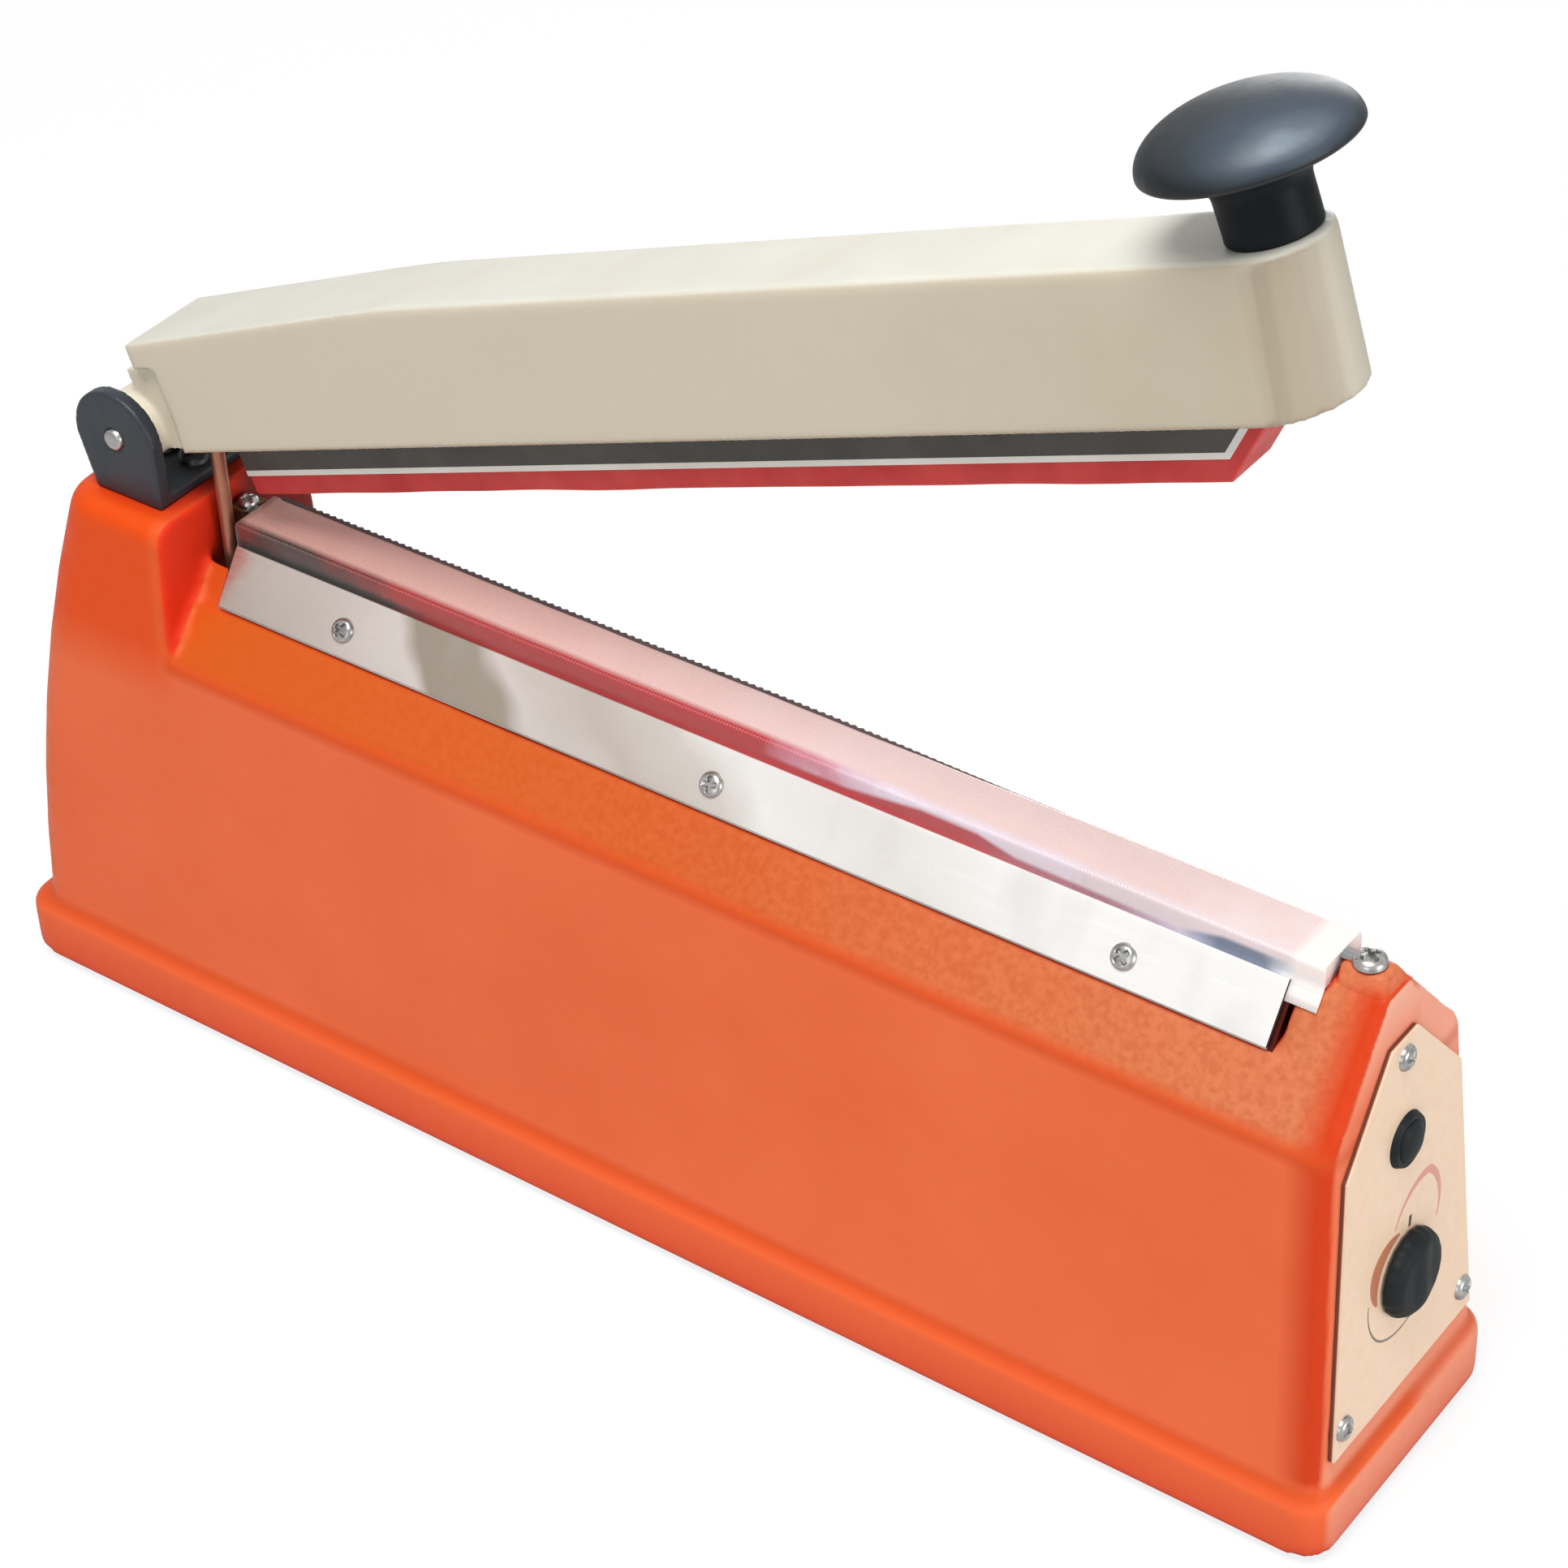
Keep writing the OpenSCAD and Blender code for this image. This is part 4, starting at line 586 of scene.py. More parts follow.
def lamination():
    """Edges of stacked steel sheets."""
    finish = Finish("lamination", Metallic=1)
    sheets = finish.noise(1, 2, finish.stretched(8, 1900, 8))
    finish.colour(finish.ramp(sheets, (0.35, srgb(70, 70, 74)), (0.65, srgb(128, 128, 132))))
    finish.rough(finish.noise(180, 4), 0.38, 0.6)
    return finish.bump(sheets, 0.00006, 0.8)


def copper_winding():
    """Enamelled wire wound in close turns."""
    finish = Finish("copper", Metallic=1)
    turns = finish.noise(1, 1, finish.stretched(10, 10, 1600))
    finish.colour(finish.ramp(turns, (0.35, srgb(120, 62, 40)), (0.65, srgb(188, 112, 74))))
    finish.rough(finish.noise(200, 3), 0.25, 0.42)
    return finish.bump(turns, 0.00008, 0.9)


def arm_plastic():
    """Cream moulding, a little browner towards the knob, with painted light on its top and painted
    shade and light round its rounded end.
    """
    finish = Finish("arm_plastic", Specular_IOR_Level=0.4)
    along = finish.span(finish.axis("X"), x_of(PIVOT_X), x_of(PIVOT_X + KNOB_U + 3))
    drift = finish.math("ADD", along, finish.stray(40, 3, 0.1))
    side = finish.ramp(
        drift, (0, srgb(207, 197, 176)), (0.6, srgb(202, 192, 171)), (1, srgb(190, 178, 155)),
    )
    # Painted light: the top is paler than the sides.
    top = finish.ramp(finish.noise(60, 3), (0.3, srgb(218, 215, 201)), (0.7, srgb(224, 222, 210)))
    upward = finish.facing("Z")
    outward = finish.facing("X")
    across = finish.facing("Y")
    # Painted shade on the rounded end, darkest at its turn, and painted light where it turns
    # towards the end.
    side = finish.mix(finish.span(outward, 0.2, 0.8), side, srgb(168, 156, 137))
    turn = finish.math("MULTIPLY", finish.span(outward, 0.03, 0.3), finish.span(outward, 0.75, 0.4))
    side = finish.tint(side, srgb(160, 148, 127), turn, 0.85)
    lit = finish.math("MULTIPLY", finish.span(across, -0.42, -0.1), finish.span(outward, 0.3, 0.6))
    side = finish.mix(lit, side, srgb(200, 192, 174))
    finish.colour(finish.mix(finish.span(upward, 0.5, 0.9), side, top))
    finish.rough(finish.noise(130, 5), 0.36, 0.5)
    return finish.bump(finish.noise(1100, 3), 0.00004)


def rod_copper():
    """Drawn copper rod, dulled in patches."""
    finish = Finish("rod_copper", Metallic=0.85)
    dull = finish.noise(1, 4, finish.stretched(220, 220, 60))
    finish.colour(finish.ramp(dull, (0.3, srgb(146, 92, 72)), (0.7, srgb(186, 136, 112))))
    finish.rough(finish.noise(260, 3), 0.32, 0.5)
    return finish.bump(finish.noise(1, 3, finish.stretched(900, 900, 20)), 0.00001, 0.4)


def knob_plastic():
    """Dark moulding with a painted highlight on the front of its crown."""
    finish = Finish("slate_plastic")
    axis = ARM.to_3x3() @ Vector((0, 0, 1))
    rise = finish.reach(finish.coords, axis)
    level = axis.dot(on_arm(KNOB_U, 0, ARM_ABOVE + CAP_RIM_H - 1))
    crown = finish.span(rise, level - 1.5 * MM, level + 0.5 * MM)
    # Painted highlight: the crown is paler where it faces up, forward and to the right.
    highlight_facing = finish.reach(finish.normal, (0.36, -0.36, 0.86))
    blotch = finish.stray(70, 4, 0.03)
    painted_highlight = finish.span(finish.math("ADD", highlight_facing, blotch), 0.4, 1)
    cap = finish.ramp(
        painted_highlight, (0.16, srgb(24, 29, 33)), (0.53, srgb(42, 49, 56)), (0.83, srgb(64, 74, 86)),
        (0.95, srgb(88, 99, 109)), (1, srgb(112, 124, 135)),
    )
    finish.colour(finish.mix(crown, srgb(16, 21, 25), cap))
    polish = finish.span(rise, level - 3 * MM, level, 0.12, 0.3)
    finish.tree.links.new(polish, finish.shader.inputs["Specular IOR Level"])
    finish.rough(finish.noise(150, 4), 0.4, 0.52)
    return finish.bump(finish.noise(1200, 3), 0.00003)


def jaw_aluminium():
    """Drawn aluminium bar with painted shade at its end."""
    finish = Finish("jaw_aluminium", Metallic=1)
    lines = finish.noise(1, 6, finish.stretched(*STREAK))
    bare = finish.ramp(lines, (0.3, srgb(166, 164, 160)), (0.7, srgb(202, 200, 196)))
    # Painted shade on the bar beyond the clamp strip's end.
    end = finish.span(finish.axis("X"), x_of(CLAMP_END - 0.4), x_of(CLAMP_END))
    finish.colour(finish.mix(end, bare, srgb(92, 40, 36)))
    finish.rough(finish.noise(160, 5), 0.3, 0.48)
    return finish.bump(lines, STREAK_DEPTH)


FINISHES = {
    "orange_paint": orange_paint(),
    "bright_steel": bright_steel(),
    "cover_sheet": cover_sheet(),
    "red_rubber": silicone(),
    "panel_paint": panel_paint(),
    "board_green": board_green(),
    "lamination": lamination(),
    "copper": copper_winding(),
    "steel": brushed("steel", (150, 150, 150), (196, 195, 192), (0.22, 0.4)),
    "dark_metal": brushed("dark_metal", (74, 74, 78), (112, 112, 116), (0.3, 0.5)),
    "jaw_aluminium": jaw_aluminium(),
    "brass": moulded("brass", (132, 122, 92), (178, 166, 128), (0.24, 0.4), 600, Metallic=0.9),
    "black_rubber": moulded("black_rubber", (26, 26, 27), (42, 42, 43), (0.6, 0.8), 700),
    "relay_blue": moulded("relay_blue", (26, 62, 128), (44, 86, 158), (0.25, 0.4)),
    "black_plastic": moulded(
        "black_plastic", (18, 22, 24), (28, 33, 35), (0.5, 0.66), Specular_IOR_Level=0.2,
    ),
    "black_paint": moulded("black_paint", (30, 36, 43), (43, 50, 58), (0.34, 0.5), 800, 0.00008),
    "white_plastic": moulded("white_plastic", (222, 218, 208), (238, 236, 228), (0.35, 0.5)),
    "arm_plastic": arm_plastic(),
    "cream_plastic": moulded("cream_plastic", (232, 222, 198), (241, 234, 214), (0.36, 0.5)),
    "bar_plastic": moulded("bar_plastic", (54, 53, 48), (72, 70, 64), (0.42, 0.6), 800, 0.00006),
    "slate_plastic": knob_plastic(),
}
PRINT_RED = moulded("print_red", (190, 116, 84), (202, 132, 100), (0.4, 0.5)).material
PRINT_PINK = moulded("print_pink", (216, 146, 132), (226, 160, 146), (0.4, 0.5)).material
PRINT_GREY = moulded("print_grey", (126, 112, 98), (142, 128, 112), (0.4, 0.5)).material
# Dark colour for painted shade on the clamp strips' edges and the sheet's fringe, and for the
# dial's printed mark.
EDGE_DARK = moulded("edge_dark", (62, 50, 50), (86, 70, 68), (0.5, 0.7)).material
ROD_COPPER = rod_copper().material
PAINT = FINISHES["orange_paint"].material
DARK_SCREW = brushed("dark_screw", (60, 62, 66), (84, 86, 90), (0.35, 0.5)).material

for name, node in nodes.items():
    node.data.materials.clear()
    node.data.materials.append(FINISHES[slot_of[name]].material)
nodes["trigger_rod"].data.materials[0] = ROD_COPPER
rim = nodes["end_panel"].modifiers.new("Rim", "BEVEL")
rim.width = 0.35 * MM
rim.segments = 3
rim.limit_method = "ANGLE"


def piece(name, mesh, body, slot, replaced=(), material=None):
    """A finished object that rides a body and may stand for CAD nodes."""
    obj = bpy.data.objects.new(name, mesh)
    scene.collection.objects.link(obj)
    mesh.materials.clear()
    mesh.materials.append(material or FINISHES[slot].material)
    mesh.polygons.foreach_set("use_smooth", [True] * len(mesh.polygons))
    mesh.set_sharp_from_angle(angle=radians(48))
    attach(obj, body)
    if replaced:
        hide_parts(*replaced)
    return obj


def tidy(mesh):
    """Joins doubled points, drops empty faces and turns all faces outward."""
    gap = 1e-6
    form = bmesh.new()
    form.from_mesh(mesh)
    bmesh.ops.remove_doubles(form, verts=form.verts, dist=gap)
    bmesh.ops.dissolve_degenerate(form, edges=form.edges, dist=gap / 4)
    bmesh.ops.recalc_face_normals(form, faces=form.faces)
    form.to_mesh(mesh)
    form.free()


def from_rows(name, rows, closed=False):
    """A mesh of quads through rows of points, with doubled points joined."""
    mesh = bpy.data.meshes.new(name)
    width = len(rows[0])
    points = [p for row in rows for p in row]
    faces = []
    for i in range(len(rows) - 1):
        for j in range(width if closed else width - 1):
            k = (j + 1) % width
            faces.append((i * width + j, i * width + k, (i + 1) * width + k, (i + 1) * width + j))
    mesh.from_pydata(points, [], faces)
    tidy(mesh)
    return mesh


def closed_ends(rows):
    """Rows of a tube, with a point in the middle of each end."""
    first, last = ([sum(row, Vector()) / len(row)] * len(row) for row in (rows[0], rows[-1]))
    return [first, *rows, last]


def joined(name, meshes):
    """Several meshes as one."""
    form = bmesh.new()
    for mesh in meshes:
        form.from_mesh(mesh)
        bpy.data.meshes.remove(mesh)
    result = bpy.data.meshes.new(name)
    form.to_mesh(result)
    form.free()
    return result


def lathed(name, profile, place, segments=64):
    """A profile of (radius, height) in millimetres turned about z of a frame."""
    angles = [2 * pi * i / segments for i in range(segments)]
    rows = [[on_ring(place, r, a, z) for a in angles] for r, z in profile]
    return from_rows(name, rows, closed=True)


def softened(node, voxel, passes, keep):
    """A CAD solid as one smooth skin with rounded edges, keeping a share of its faces."""
    work = bpy.data.objects.new("work", nodes[node].data.copy())
    scene.collection.objects.link(work)
    remesh = work.modifiers.new("Remesh", "REMESH")
    remesh.mode = "VOXEL"
    remesh.voxel_size = voxel * MM
    smooth = work.modifiers.new("Smooth", "SMOOTH")
    smooth.factor = 0.5
    smooth.iterations = passes
    work.modifiers.new("Decimate", "DECIMATE").ratio = keep
    graph = bpy.context.evaluated_depsgraph_get()
    mesh = bpy.data.meshes.new_from_object(work.evaluated_get(graph))
    bpy.data.objects.remove(work)
    return mesh


def soft_piece(name, node, body, voxel, passes, keep):
    """A softened CAD solid in place of its node."""
    piece(name, softened(node, voxel, passes, keep), body, slot_of[node], (node,))


def tuck_end(mesh):
    """Draws the arm's round end in, most at its lower edge."""
    to_arm = ARM.inverted()
    for vertex in mesh.vertices:
        place = to_arm @ vertex.co
        reach = smoothstep(TUCK_FROM, TUCK_TO, place.x / MM)
        depth = (ARM_ABOVE - place.z / MM) / (ARM_ABOVE + ARM_BELOW)
        place.x -= END_TUCK * MM * reach * min(max(depth, 0), 1)
        vertex.co = ARM @ place


# Cast, moulded and pressed shapes with rounded edges
soft_piece("casting_skin", "body_casting", "base", 1.0, 9, 0.5)
arm_mesh = softened("arm_shell", 0.6, 9, 0.5)
tuck_end(arm_mesh)
piece("arm_cover", arm_mesh, "arm", slot_of["arm_shell"], ("arm_shell",))
soft_piece("hinge_ears", "hinge_bracket", "base", 0.45, 3, 0.6)
soft_piece("arm_lug", "hinge_block", "arm", 0.55, 3, 0.6)
soft_piece("foot_pads", "rubber_feet", "base", 0.4, 2, 0.6)
soft_piece("cord_bush", "cord_gland", "base", 0.3, 2, 0.7)


def right_tab():
    """Painted seat of the heating wire's right end, with soft edges that run out onto the roof."""
    segments = 96
    square = 0.3
    profile = [
        (-1.6, 5, 1.8), (-0.8, 4.6, 1.5), (0, 4.3, 1.1), (0.8, 3.8, 0.7),
        (1.5, 3.35, 0.35), (2, 3, 0.1), (2.35, 2.6, -0.3), (2.56, 2, -0.9),
    ]
    rows = [[at(TAB_X, 0, TAB_H + profile[0][0])] * segments]
    for h, half, out in profile:
        row = []
        for i in range(segments):
            a = 2 * pi * i / segments
            x = abs(cos(a)) ** square * (TAB_L / 2 + (out if cos(a) > 0 else min(out, 0.1)))
            y = abs(sin(a)) ** square * half
            row.append(at(TAB_X + copysign(x, cos(a)), copysign(y, sin(a)), TAB_H + h))
        rows.append(row)
    rows.append([at(TAB_X, 0, TAB_H + TAB_T)] * segments)
    mesh = from_rows("right_tab", rows, closed=True)
    piece("right_tab", mesh, "base", slot_of["right_terminal"], ("right_terminal",), PAINT)


right_tab()


def screw(place, r, length, head_r, head_t, turn):
    """A pan head screw with a cross recess, its seat on z = 0 of a frame."""
    rings = 22
    segments = 64
    angles = [2 * pi * i / segments for i in range(segments)]
    rows = []
    for radius, z in ((0, -length), (r, -length), (r, 0), (head_r, 0)):
        rows.append([on_ring(place, radius, a, z) for a in angles])
    slot_w = 0.15 * head_r
    slot_l = 0.6 * head_r

    def groove(far, aside):
        ends = smoothstep(slot_l + 0.2, slot_l - 0.3, far)
        return ends * smoothstep(slot_w + 0.12, slot_w - 0.05, aside)

    for i in range(1, rings + 1):
        share = 1 - i / rings
        radius = share * head_r
        top = head_t * (1 - share ** 3.4) ** 0.5
        row = []
        for a in angles:
            x = radius * cos(a + turn)
            y = radius * sin(a + turn)
            recess = max(groove(abs(x), abs(y)), groove(abs(y), abs(x)))
            row.append(on_ring(place, radius, a, top - 0.6 * head_t * recess))
        rows.append(row)
    return from_rows("screw", rows, closed=True)


def screws(name, node, places, sizes, material=None):
    """Screws of one size, each turned a little further than the last."""
    made = [screw(place, *sizes, 0.5 + 0.9 * i) for i, place in enumerate(places)]
    piece(name, joined(name, made), "base", slot_of[node], (node,), material)


panel_top_h = APEX_H - PANEL_TOP_W / 2 * tan(ROOF_A) - PANEL_ROOF_RIM / cos(ROOF_A)
panel_low = FLANGE_H + PANEL_FOOT_RIM + PANEL_SCREW_FOOT
panel_side = BODY_W / 2 - FLANGE_STEP - PANEL_RIM - PANEL_SCREW_SIDE
panel_spots = (
    (0, panel_top_h - PANEL_SCREW_TOP), (-panel_side, panel_low), (panel_side, panel_low),
)
panel_places = [at_end(*spot) @ shift(0, 0, PANEL_T) for spot in panel_spots]
screws("panel_screw_set", "end_panel_screws", panel_places, PANEL_SCREW)
for side, slope in SLOPES.items():
    places = [slope @ shift(x, CLAMP_SCREW_S, STRIP_TOP) for x in CLAMP_SCREW_X]
    screws(f"{side}_strip_screws", f"{side}_clamp_screws", places, STRIP_SCREW)
left_place = standing(LEFT_SCREW_X, LEFT_SCREW_Y, TERMINAL_H)
screws("left_end_screw", "left_terminal_screw", [left_place], LEFT_SCREW)
right_place = standing(TAB_X, 0, TERMINAL_H)
screws("right_end_screw", "right_terminal_screw", [right_place], RIGHT_SCREW)
bracket_places = [standing(PIVOT_X + u, 0, SHOULDER_H + BRACKET_T) for u in BRACKET_SCREW_U]
screws("bracket_screw_set", "bracket_screws", bracket_places, BRACKET_SCREW, DARK_SCREW)
upside_down = Matrix.Diagonal((1, 1, -1, 1))
foot_places = [standing(x, s * BOSS_Y, 0) @ upside_down for x in BOSS_X for s in (-1, 1)]
screws("bottom_screw_set", "bottom_screws", foot_places, BOTTOM_SCREW)


def press_knob():
    """Mushroom knob: waisted stem flaring into a thick round rim and a full dome."""
    under = 1.4
    cap_r = CAP_R - 0.4
    rim_h = CAP_RIM_H - 0.4
    bead = 2.4
    foot = STEM_R - 0.8
    flare_h = rim_h * 0.5
    profile = [(0, 0), (foot - 0.6, 0), (foot - 0.15, 0.2), (foot, 0.7), (foot - 0.05, 1.2)]
    for i in range(16):
        t = radians(i * 5)
        r = NECK_R + (cap_r - bead - NECK_R) * (1 - cos(t))
        profile.append((r, flare_h + (rim_h - under - flare_h) * sin(t)))
    for i in range(1, 13):
        t = radians(-90 + i * 7.5)
        profile.append((cap_r - bead + bead * cos(t), rim_h + under * sin(t)))
    for i in range(1, 31):
        t = radians(i * 3)
        profile.append((cap_r * cos(t) ** 0.95, rim_h + (CAP_DOME - 0.4) * sin(t)))
    mesh = lathed("knob_cap", profile, ARM @ shift(KNOB_U + KNOB_SHIFT, 0, ARM_ABOVE), 112)
    piece("knob_cap", mesh, "arm", "slate_plastic", ("press_knob",))


press_knob()


def hinge_rivet():
    """Hinge pin with rounded and slightly dished ends."""
    half = PIN_L / 2
    end = [
        (0, half - 0.2), (PIN_R * 0.35, half - 0.16), (PIN_R * 0.6, half),
        (PIN_R * 0.86, half - 0.12), (PIN_R, half - 0.45),
    ]
    profile = [(r, -z) for r, z in end] + [(r, z) for r, z in reversed(end)]
    place = standing(PIVOT_X, 0, PIVOT_H) @ Matrix.Rotation(pi / 2, 4, "X")
    piece("hinge_rivet", lathed("hinge_rivet", profile, place), "base", "steel", ("hinge_pin",))


hinge_rivet()


def button_cap():
    """Push button with a softly domed top."""
    root = -4
    edge = PANEL_T + BEZEL_T
    profile = [(0, root), (BUTTON_R, root), (BUTTON_R, edge)]
    for i in range(1, 19):
        t = radians(i * 5)
        profile.append((BUTTON_R * cos(t), edge + (BUTTON_PROUD - 0.6) * sin(t)))
    mesh = lathed("button_cap", profile, at_end(0, BUTTON_H))
    piece("button_cap", mesh, "button", "black_plastic", ("power_button",))


button_cap()


def timer_grip():
    """Round grip with shallow flutes, a soft shoulder and a low ridge, on its spindle."""
    base = PANEL_T + TIMER_GAP
    top = base + TIMER_T - 1.4
    bend = 2.8
    flutes = 20
    flute_depth = 0.16
    ridge_h = 0.6
    profile = [(0, base), (TIMER_R - 0.5, base), (TIMER_R - 0.1, base + 0.15)]
    profile += [(TIMER_R, base + 0.5), (TIMER_R, top - bend)]
    for i in range(1, 13):
        t = radians(i * 7.5)
        profile.append((TIMER_R - bend + bend * cos(t), top - bend + bend * sin(t)))
    inner = TIMER_R - bend
    profile += [(inner * (1 - i / 14), top) for i in range(1, 15)]
    place = at_end(0, TIMER_H)
    segments = 160
    rows = []
    for r, z in profile:
        row = []
        fluted = smoothstep(inner + 0.4, TIMER_R, r)
        raised = smoothstep(top - bend, top, z)
        for i in range(segments):
            a = 2 * pi * i / segments
            radius = r - flute_depth * fluted * (0.5 + 0.5 * cos(flutes * a))
            x = radius * cos(a)
            y = radius * sin(a)
            ridge = smoothstep(3.6, 0, abs(y)) * smoothstep(TIMER_R - 0.6, TIMER_R - 4.5, abs(x))
            row.append(place @ (Vector((x, y, z + ridge_h * ridge * raised)) * MM))
        rows.append(row)
    mesh = from_rows("timer_grip", rows, closed=True)
    piece("timer_grip", mesh, "timer", "black_plastic", ("timer_knob",))
    root = -4.8
    end = top - 1
    profile = [(0, root), (SHAFT_R, root), (SHAFT_R, end - 0.4), (SHAFT_R - 0.4, end), (0, end)]
    spindle = lathed("timer_spindle", profile, place, 48)
    piece("timer_spindle", spindle, "timer", slot_of["timer_shaft"], ("timer_shaft",))


timer_grip()


def rod_spring():
    """Coil under the rod's collar."""
    low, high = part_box("return_spring")
    axis = (low + high) / 2
    foot = low.z + SPRING_WIRE_R * MM
    rise = high.z - low.z - 2 * SPRING_WIRE_R * MM
    steps = SPRING_TURNS * 28
    sides = 10
    rows = []
    for i in range(steps + 1):
        a = 2 * pi * SPRING_TURNS * i / steps
        row = []
        for j in range(sides):
            b = 2 * pi * j / sides
            r = SPRING_R + SPRING_WIRE_R * cos(b)
            up = foot + rise * i / steps + SPRING_WIRE_R * sin(b) * MM
            row.append(Vector((axis.x + r * cos(a) * MM, axis.y + r * sin(a) * MM, up)))
        rows.append(row)
    mesh = from_rows("rod_spring", closed_ends(rows), closed=True)
    coil = piece("rod_spring", mesh, "base", slot_of["return_spring"], ("return_spring",))
    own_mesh(coil)


rod_spring()


def rounded_bar(half_w, top, bottom, r, steps=4):
    """Section of a bar as (across, up) points, with rounded lower edges."""
    points = [(-half_w, top), (half_w, top)]
    for sign, start in ((1, 0), (-1, -90)):
        for i in range(steps + 1):
            a = radians(start - 90 * i / steps)
            points.append((sign * (half_w - r) + r * cos(a), bottom + r + r * sin(a)))
    return points


def silicone_pad():
    """Red strip that follows the bar's underside and its bevelled end, a little uneven."""
    mitre = tan(pi / 8)
    length = BAR_END - BAR_START
    rows = []
    flat_steps = 150
    end_steps = 8
    stations = [(BAR_START + length * i / flat_steps, 0) for i in range(flat_steps + 1)]
    stations += [(BAR_END, 0.04 + 0.96 * i / end_steps) for i in range(end_steps + 1)]
    for u, rise in stations:
        thin = min(max(0.34 * wander(u, 0.045, 3.1), -0.12), 0.3)
        sway = 0.22 * wander(u, 0.03, 7.7)
        low = BACKING_T + SILICONE_T - thin
        section = rounded_bar(SILICONE_W / 2, -BACKING_T, -low, 0.9)
        row = []
        for y, v in section:
            if u >= BAR_END:
                depth = -v
                foot = Vector((BAR_END + depth * mitre, -BAR_LOW - depth))
                head = Vector((BAR_END + BAR_LOW - BAR_DROP + depth * 2 ** 0.5, -BAR_DROP))
                spot = foot.lerp(head, rise)
                trim = PAD_TRIM * (depth - BACKING_T) / SILICONE_T
                row.append(on_arm(spot.x - trim, y + sway, spot.y))
            else:
                row.append(on_arm(u, y + sway, -BAR_LOW + v))
        rows.append(row)
    mesh = from_rows("silicone_pad", closed_ends(rows), closed=True)
    piece("silicone_pad", mesh, "arm", "red_rubber", ("silicone_strip",))


silicone_pad()


def cover_cloth():
    """Release sheet stretched over the red strip and its end, its flaps under the clamp strips."""
    half = JAW_TOP_W / 2
    flap_y = COVER_FLAP * cos(SLOPE_A)
    flap_h = COVER_FLAP * sin(SLOPE_A)
    gap = COVER_T / 2
    r = 0.7
    top = RIDGE_H - gap
    right = [
        (half + flap_y + gap * sin(SLOPE_A), JAW_TOP - flap_h + gap * cos(SLOPE_A)),
        (half + flap_y / 2 + gap * sin(SLOPE_A), JAW_TOP - flap_h / 2 + gap * cos(SLOPE_A)),
        (half + gap, JAW_TOP), (half + gap, JAW_TOP + 1.2), (half + gap, JAW_TOP + 2.4),
    ]
    for i in range(6):
        a = radians(i * 18)
        right.append((half + gap - r + r * cos(a), top - r + r * sin(a)))
    right += [(half * 0.6, top), (half * 0.25, top)]
    path = right + [(-y, h) for y, h in reversed(right)]
    rows = []
    steps = 160
    for i in range(steps + 1):
        x = COVER_START + (COVER_END - COVER_START) * i / steps
        ripple = 0.09 * wander(x, 0.09, 1.7)
        row = []
        for y, h in path:
            loose = smoothstep(JAW_TOP, JAW_TOP + 2, h)
            first = x if h >= JAW_TOP else max(x, FLAP_START + 0.01 * i)
            row.append(at(first, y * (1 + 0.008 * ripple * loose), h + ripple * loose))
        rows.append(row)
    end_fold = ((0.12, 0.6), (0.16, 2.4), (0.16, 4.4))
    for out, low in end_fold:
        rows.append([at(COVER_END + out, y, min(h, RIDGE_H - low)) for y, h in path])
    mesh = from_rows("cover_cloth", rows)
    cloth = piece("cover_cloth", mesh, "base", "cover_sheet", ("ptfe_cover",))
    thick = cloth.modifiers.new("Solidify", "SOLIDIFY")
    thick.thickness = COVER_T * 0.7 * MM
    thick.offset = 0
    width = sum(hypot(b[0] - a[0], b[1] - a[1]) for a, b in zip(path, path[1:]))
    flat = (width * MM, (COVER_END + 2 - COVER_START) * MM)
    return cloth, flat


cloth, cloth_flat = cover_cloth()


def cloth_fringe():
    """Pinked edge of the sheet along the rear of the ridge, dark with painted shade, fading to the
    right.
    """
    rows = []
    start = COVER_START + 2
    stop = 246
    fade_l = 56
    pitch = 1.8
    count = int((stop - start) / pitch * 2)
    for i in range(count + 1):
        x = start + i * pitch / 2
        fade = smoothstep(stop, stop - fade_l, x)
        tooth = (0.25 + 0.5 * (i % 2)) * fade
        y = JAW_TOP_W / 2 - 0.4
        tip = JAW_TOP_W / 2 + 0.05 + tooth
        high = RIDGE_H - 0.25 + 0.3 * fade
        low = high - 0.25
        rows.append([at(x, y, low), at(x, tip, low), at(x, tip, high), at(x, y, high)])
    rows = [[rows[0][0]] * 4] + rows + [[rows[-1][0]] * 4]
    mesh = from_rows("cloth_fringe", rows, closed=True)
    # The fringe's dark colour is painted shade.
    fringe = piece("cloth_fringe", mesh, "base", "cover_sheet", material=EDGE_DARK)
    mesh.polygons.foreach_set("use_smooth", [False] * len(mesh.polygons))
    return fringe


fringe = cloth_fringe()


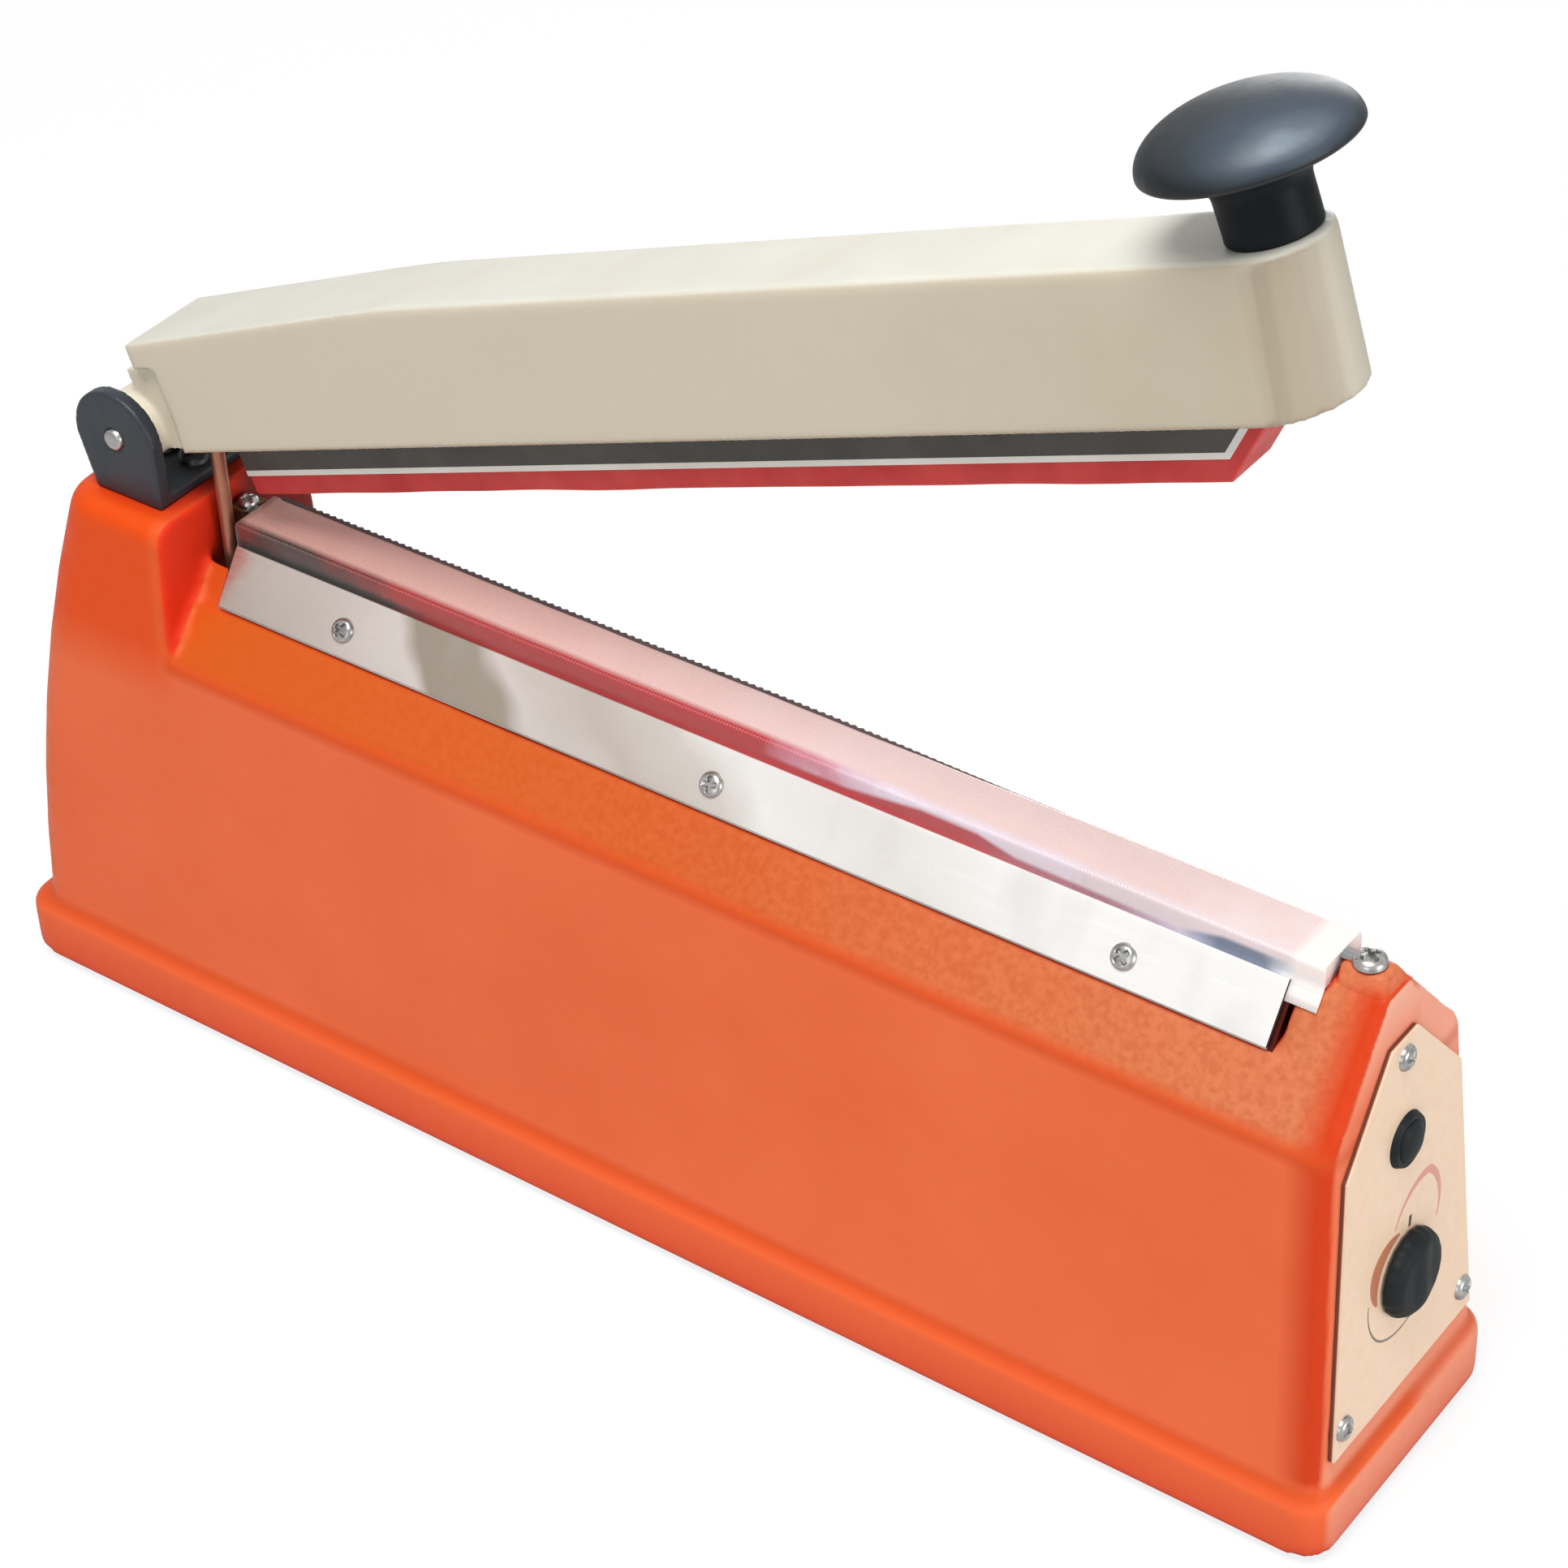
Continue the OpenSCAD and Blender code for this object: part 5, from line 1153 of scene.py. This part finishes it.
def clamp_strip(side, slope):
    """Thin polished strip, a little buckled between its screws."""
    s0 = (SLOPE_L - CLAMP_W) / 2
    s1 = s0 + CLAMP_W
    seed = 5.3 if side == "front" else 9.1
    edge = 0.2
    bends = [(edge * (1 - sin(radians(a))), edge * (1 - cos(radians(a)))) for a in (0, 30, 60, 90)]
    section = [(s0, COVER_T)]
    section += [(s0 + ds, STRIP_TOP - dz) for dz, ds in bends]
    section += [(s0 + CLAMP_W * i / 8, STRIP_TOP) for i in range(1, 8)]
    section += [(s1 - ds, STRIP_TOP - dz) for dz, ds in reversed(bends)]
    section.append((s1, COVER_T))
    rows = []
    steps = 200
    for i in range(steps + 1):
        x = CLAMP_START + (CLAMP_END - CLAMP_START) * i / steps
        nearest = min(abs(x - screw_x) for screw_x in CLAMP_SCREW_X)
        loose = smoothstep(3, 26, nearest)
        row = []
        for s, z in section:
            outer = smoothstep(COVER_T, STRIP_TOP, z)
            buckle = 0.22 * noise.noise(Vector((x * 0.05, s * 0.06, seed)))
            lift = max(buckle, -0.15) * loose * outer
            row.append(slope @ (Vector((x, s, z + lift)) * MM))
        rows.append(row)
    mesh = from_rows(f"{side}_strip", closed_ends(rows), closed=True)
    piece(f"{side}_strip", mesh, "base", "bright_steel", (f"{side}_clamp_strip",))
    # Painted shade: the strip's lower edge and its right end take the dark colour.
    mesh.materials.append(EDGE_DARK)
    down = slope.to_3x3() @ Vector((0, -1, 0))
    for face in mesh.polygons:
        if face.normal.dot(down) > 0.8 or face.normal.x > 0.8:
            face.material_index = 1


for side, slope in SLOPES.items():
    clamp_strip(side, slope)


def dial_arc(name, radius, start, stop, thin, thick, material, swell=0):
    """A printed arc round the timer knob, by angles from straight up in degrees.

    It is thick in its middle and thin at its ends, and rises to a point by the swell.
    """
    place = at_end(0, TIMER_H)
    rows = []
    steps = max(int(abs(stop - start) / 3), 2)
    for i in range(steps + 1):
        a = radians(start + (stop - start) * i / steps)
        bulge = sin(pi * i / steps)
        r0 = radius + swell * (1 - abs(2 * i / steps - 1) ** 1.3)
        r1 = r0 + thin + (thick - thin) * bulge
        flat = ((r0, PRINT_LOW), (r1, PRINT_LOW), (r1, PRINT_HIGH), (r0, PRINT_HIGH))
        rows.append([place @ (Vector((-r * cos(a), r * sin(a), z)) * MM) for r, z in flat])
    rows = [[rows[0][0]] * 4] + rows + [[rows[-1][0]] * 4]
    piece(name, from_rows(name, rows, closed=True), "base", "panel_paint", material=material)


dial_arc("dial_arc_low", 9.8, -96, -10, thin=0.6, thick=3.7, material=PRINT_RED, swell=0.3)
dial_arc("dial_arc_high", 12.2, -16, 70, thin=0.5, thick=1.7, material=PRINT_PINK, swell=6.6)
dial_arc("dial_ring", 12.8, -86, -196, thin=0.3, thick=0.5, material=PRINT_GREY, swell=0.8)
dial_arc("dial_mark", 9.3, 8, 13, thin=2.4, thick=2.4, material=EDGE_DARK)


def stage():
    """Pale floor and white surround."""
    mesh = bpy.data.meshes.new("floor")
    reach = 6
    corners = [(-reach, -reach, 0), (reach, -reach, 0), (reach, reach, 0), (-reach, reach, 0)]
    mesh.from_pydata(corners, [], [(0, 1, 2, 3)])
    floor = bpy.data.objects.new("floor", mesh)
    scene.collection.objects.link(floor)
    grey = (0.7, 0.7, 0.7, 1)
    ground = Finish("floor", Base_Color=grey, Roughness=0.9, Specular_IOR_Level=0)
    rays = ground.node("ShaderNodeLightPath")
    seen = ground.math("MULTIPLY", rays.outputs["Is Camera Ray"], 0.72)
    glow = ground.node("ShaderNodeEmission", {"Strength": 1.14})
    both = {0: seen, 1: ground.shader.outputs[0], 2: glow.outputs[0]}
    blend = ground.node("ShaderNodeMixShader", both)
    output = ground.tree.nodes["Material Output"]
    ground.tree.links.new(blend.outputs[0], output.inputs["Surface"])
    mesh.materials.append(ground.material)

    world = bpy.data.worlds.new("studio")
    scene.world = world
    world.use_nodes = True
    tree = world.node_tree
    light = tree.nodes["Background"]
    light.inputs["Color"].default_value = (1, 1, 1, 1)
    light.inputs["Strength"].default_value = 0.35
    white = add_node(tree, "ShaderNodeBackground", {"Strength": 1})
    rays = add_node(tree, "ShaderNodeLightPath").outputs
    seen = rays["Is Camera Ray"]
    for other in ("Is Glossy Ray", "Is Transmission Ray"):
        either = {0: seen, 1: rays[other]}
        seen = add_node(tree, "ShaderNodeMath", either, operation="MAXIMUM").outputs[0]
    both = {0: seen, 1: light.outputs[0], 2: white.outputs[0]}
    blend = add_node(tree, "ShaderNodeMixShader", both)
    tree.links.new(blend.outputs[0], tree.nodes["World Output"].inputs["Surface"])


stage()


def lamp(name, place, target, size, power):
    """A soft round lamp aimed at a place."""
    data = bpy.data.lights.new(name, "AREA")
    data.shape = "DISK"
    data.size = size
    data.energy = power
    obj = bpy.data.objects.new(name, data)
    scene.collection.objects.link(obj)
    obj.location = place
    obj.rotation_euler = (Vector(target) - Vector(place)).to_track_quat("-Z", "Y").to_euler()


lamp("key_lamp", (0.15, -0.4, 1.3), (0.02, 0, 0.1), size=0.7, power=14)
lamp("front_lamp", (0.35, -1.3, 0.45), (0, 0, 0.1), size=0.8, power=2)
lamp("end_lamp", (1.2, 0, 0.3), (0.15, 0, 0.05), size=0.6, power=4)
lamp("rear_lamp", (-0.5, 1.3, 0.12), (0, 0, 0.1), size=0.6, power=7)


def photo_camera():
    """Camera at the photograph's viewing angle."""
    azimuth = radians(37.669)
    height = radians(37.51)
    roll = radians(-2.713)
    back = Vector((sin(azimuth) * cos(height), -cos(azimuth) * cos(height), sin(height)))
    right = Vector((cos(azimuth), sin(azimuth), 0))
    up = back.cross(right)
    side = right * cos(roll) + up * sin(roll)
    top = up * cos(roll) - right * sin(roll)
    data = bpy.data.cameras.new("camera")
    data.lens = 97.234
    data.sensor_width = 36
    camera = bpy.data.objects.new("camera", data)
    scene.collection.objects.link(camera)
    turn = Matrix((side, top, back)).transposed().to_4x4()
    place = (0.409407, -0.50124, 0.58984)
    camera.matrix_world = Matrix.Translation(place) @ turn
    scene.camera = camera


photo_camera()
scene.view_settings.view_transform = "Standard"
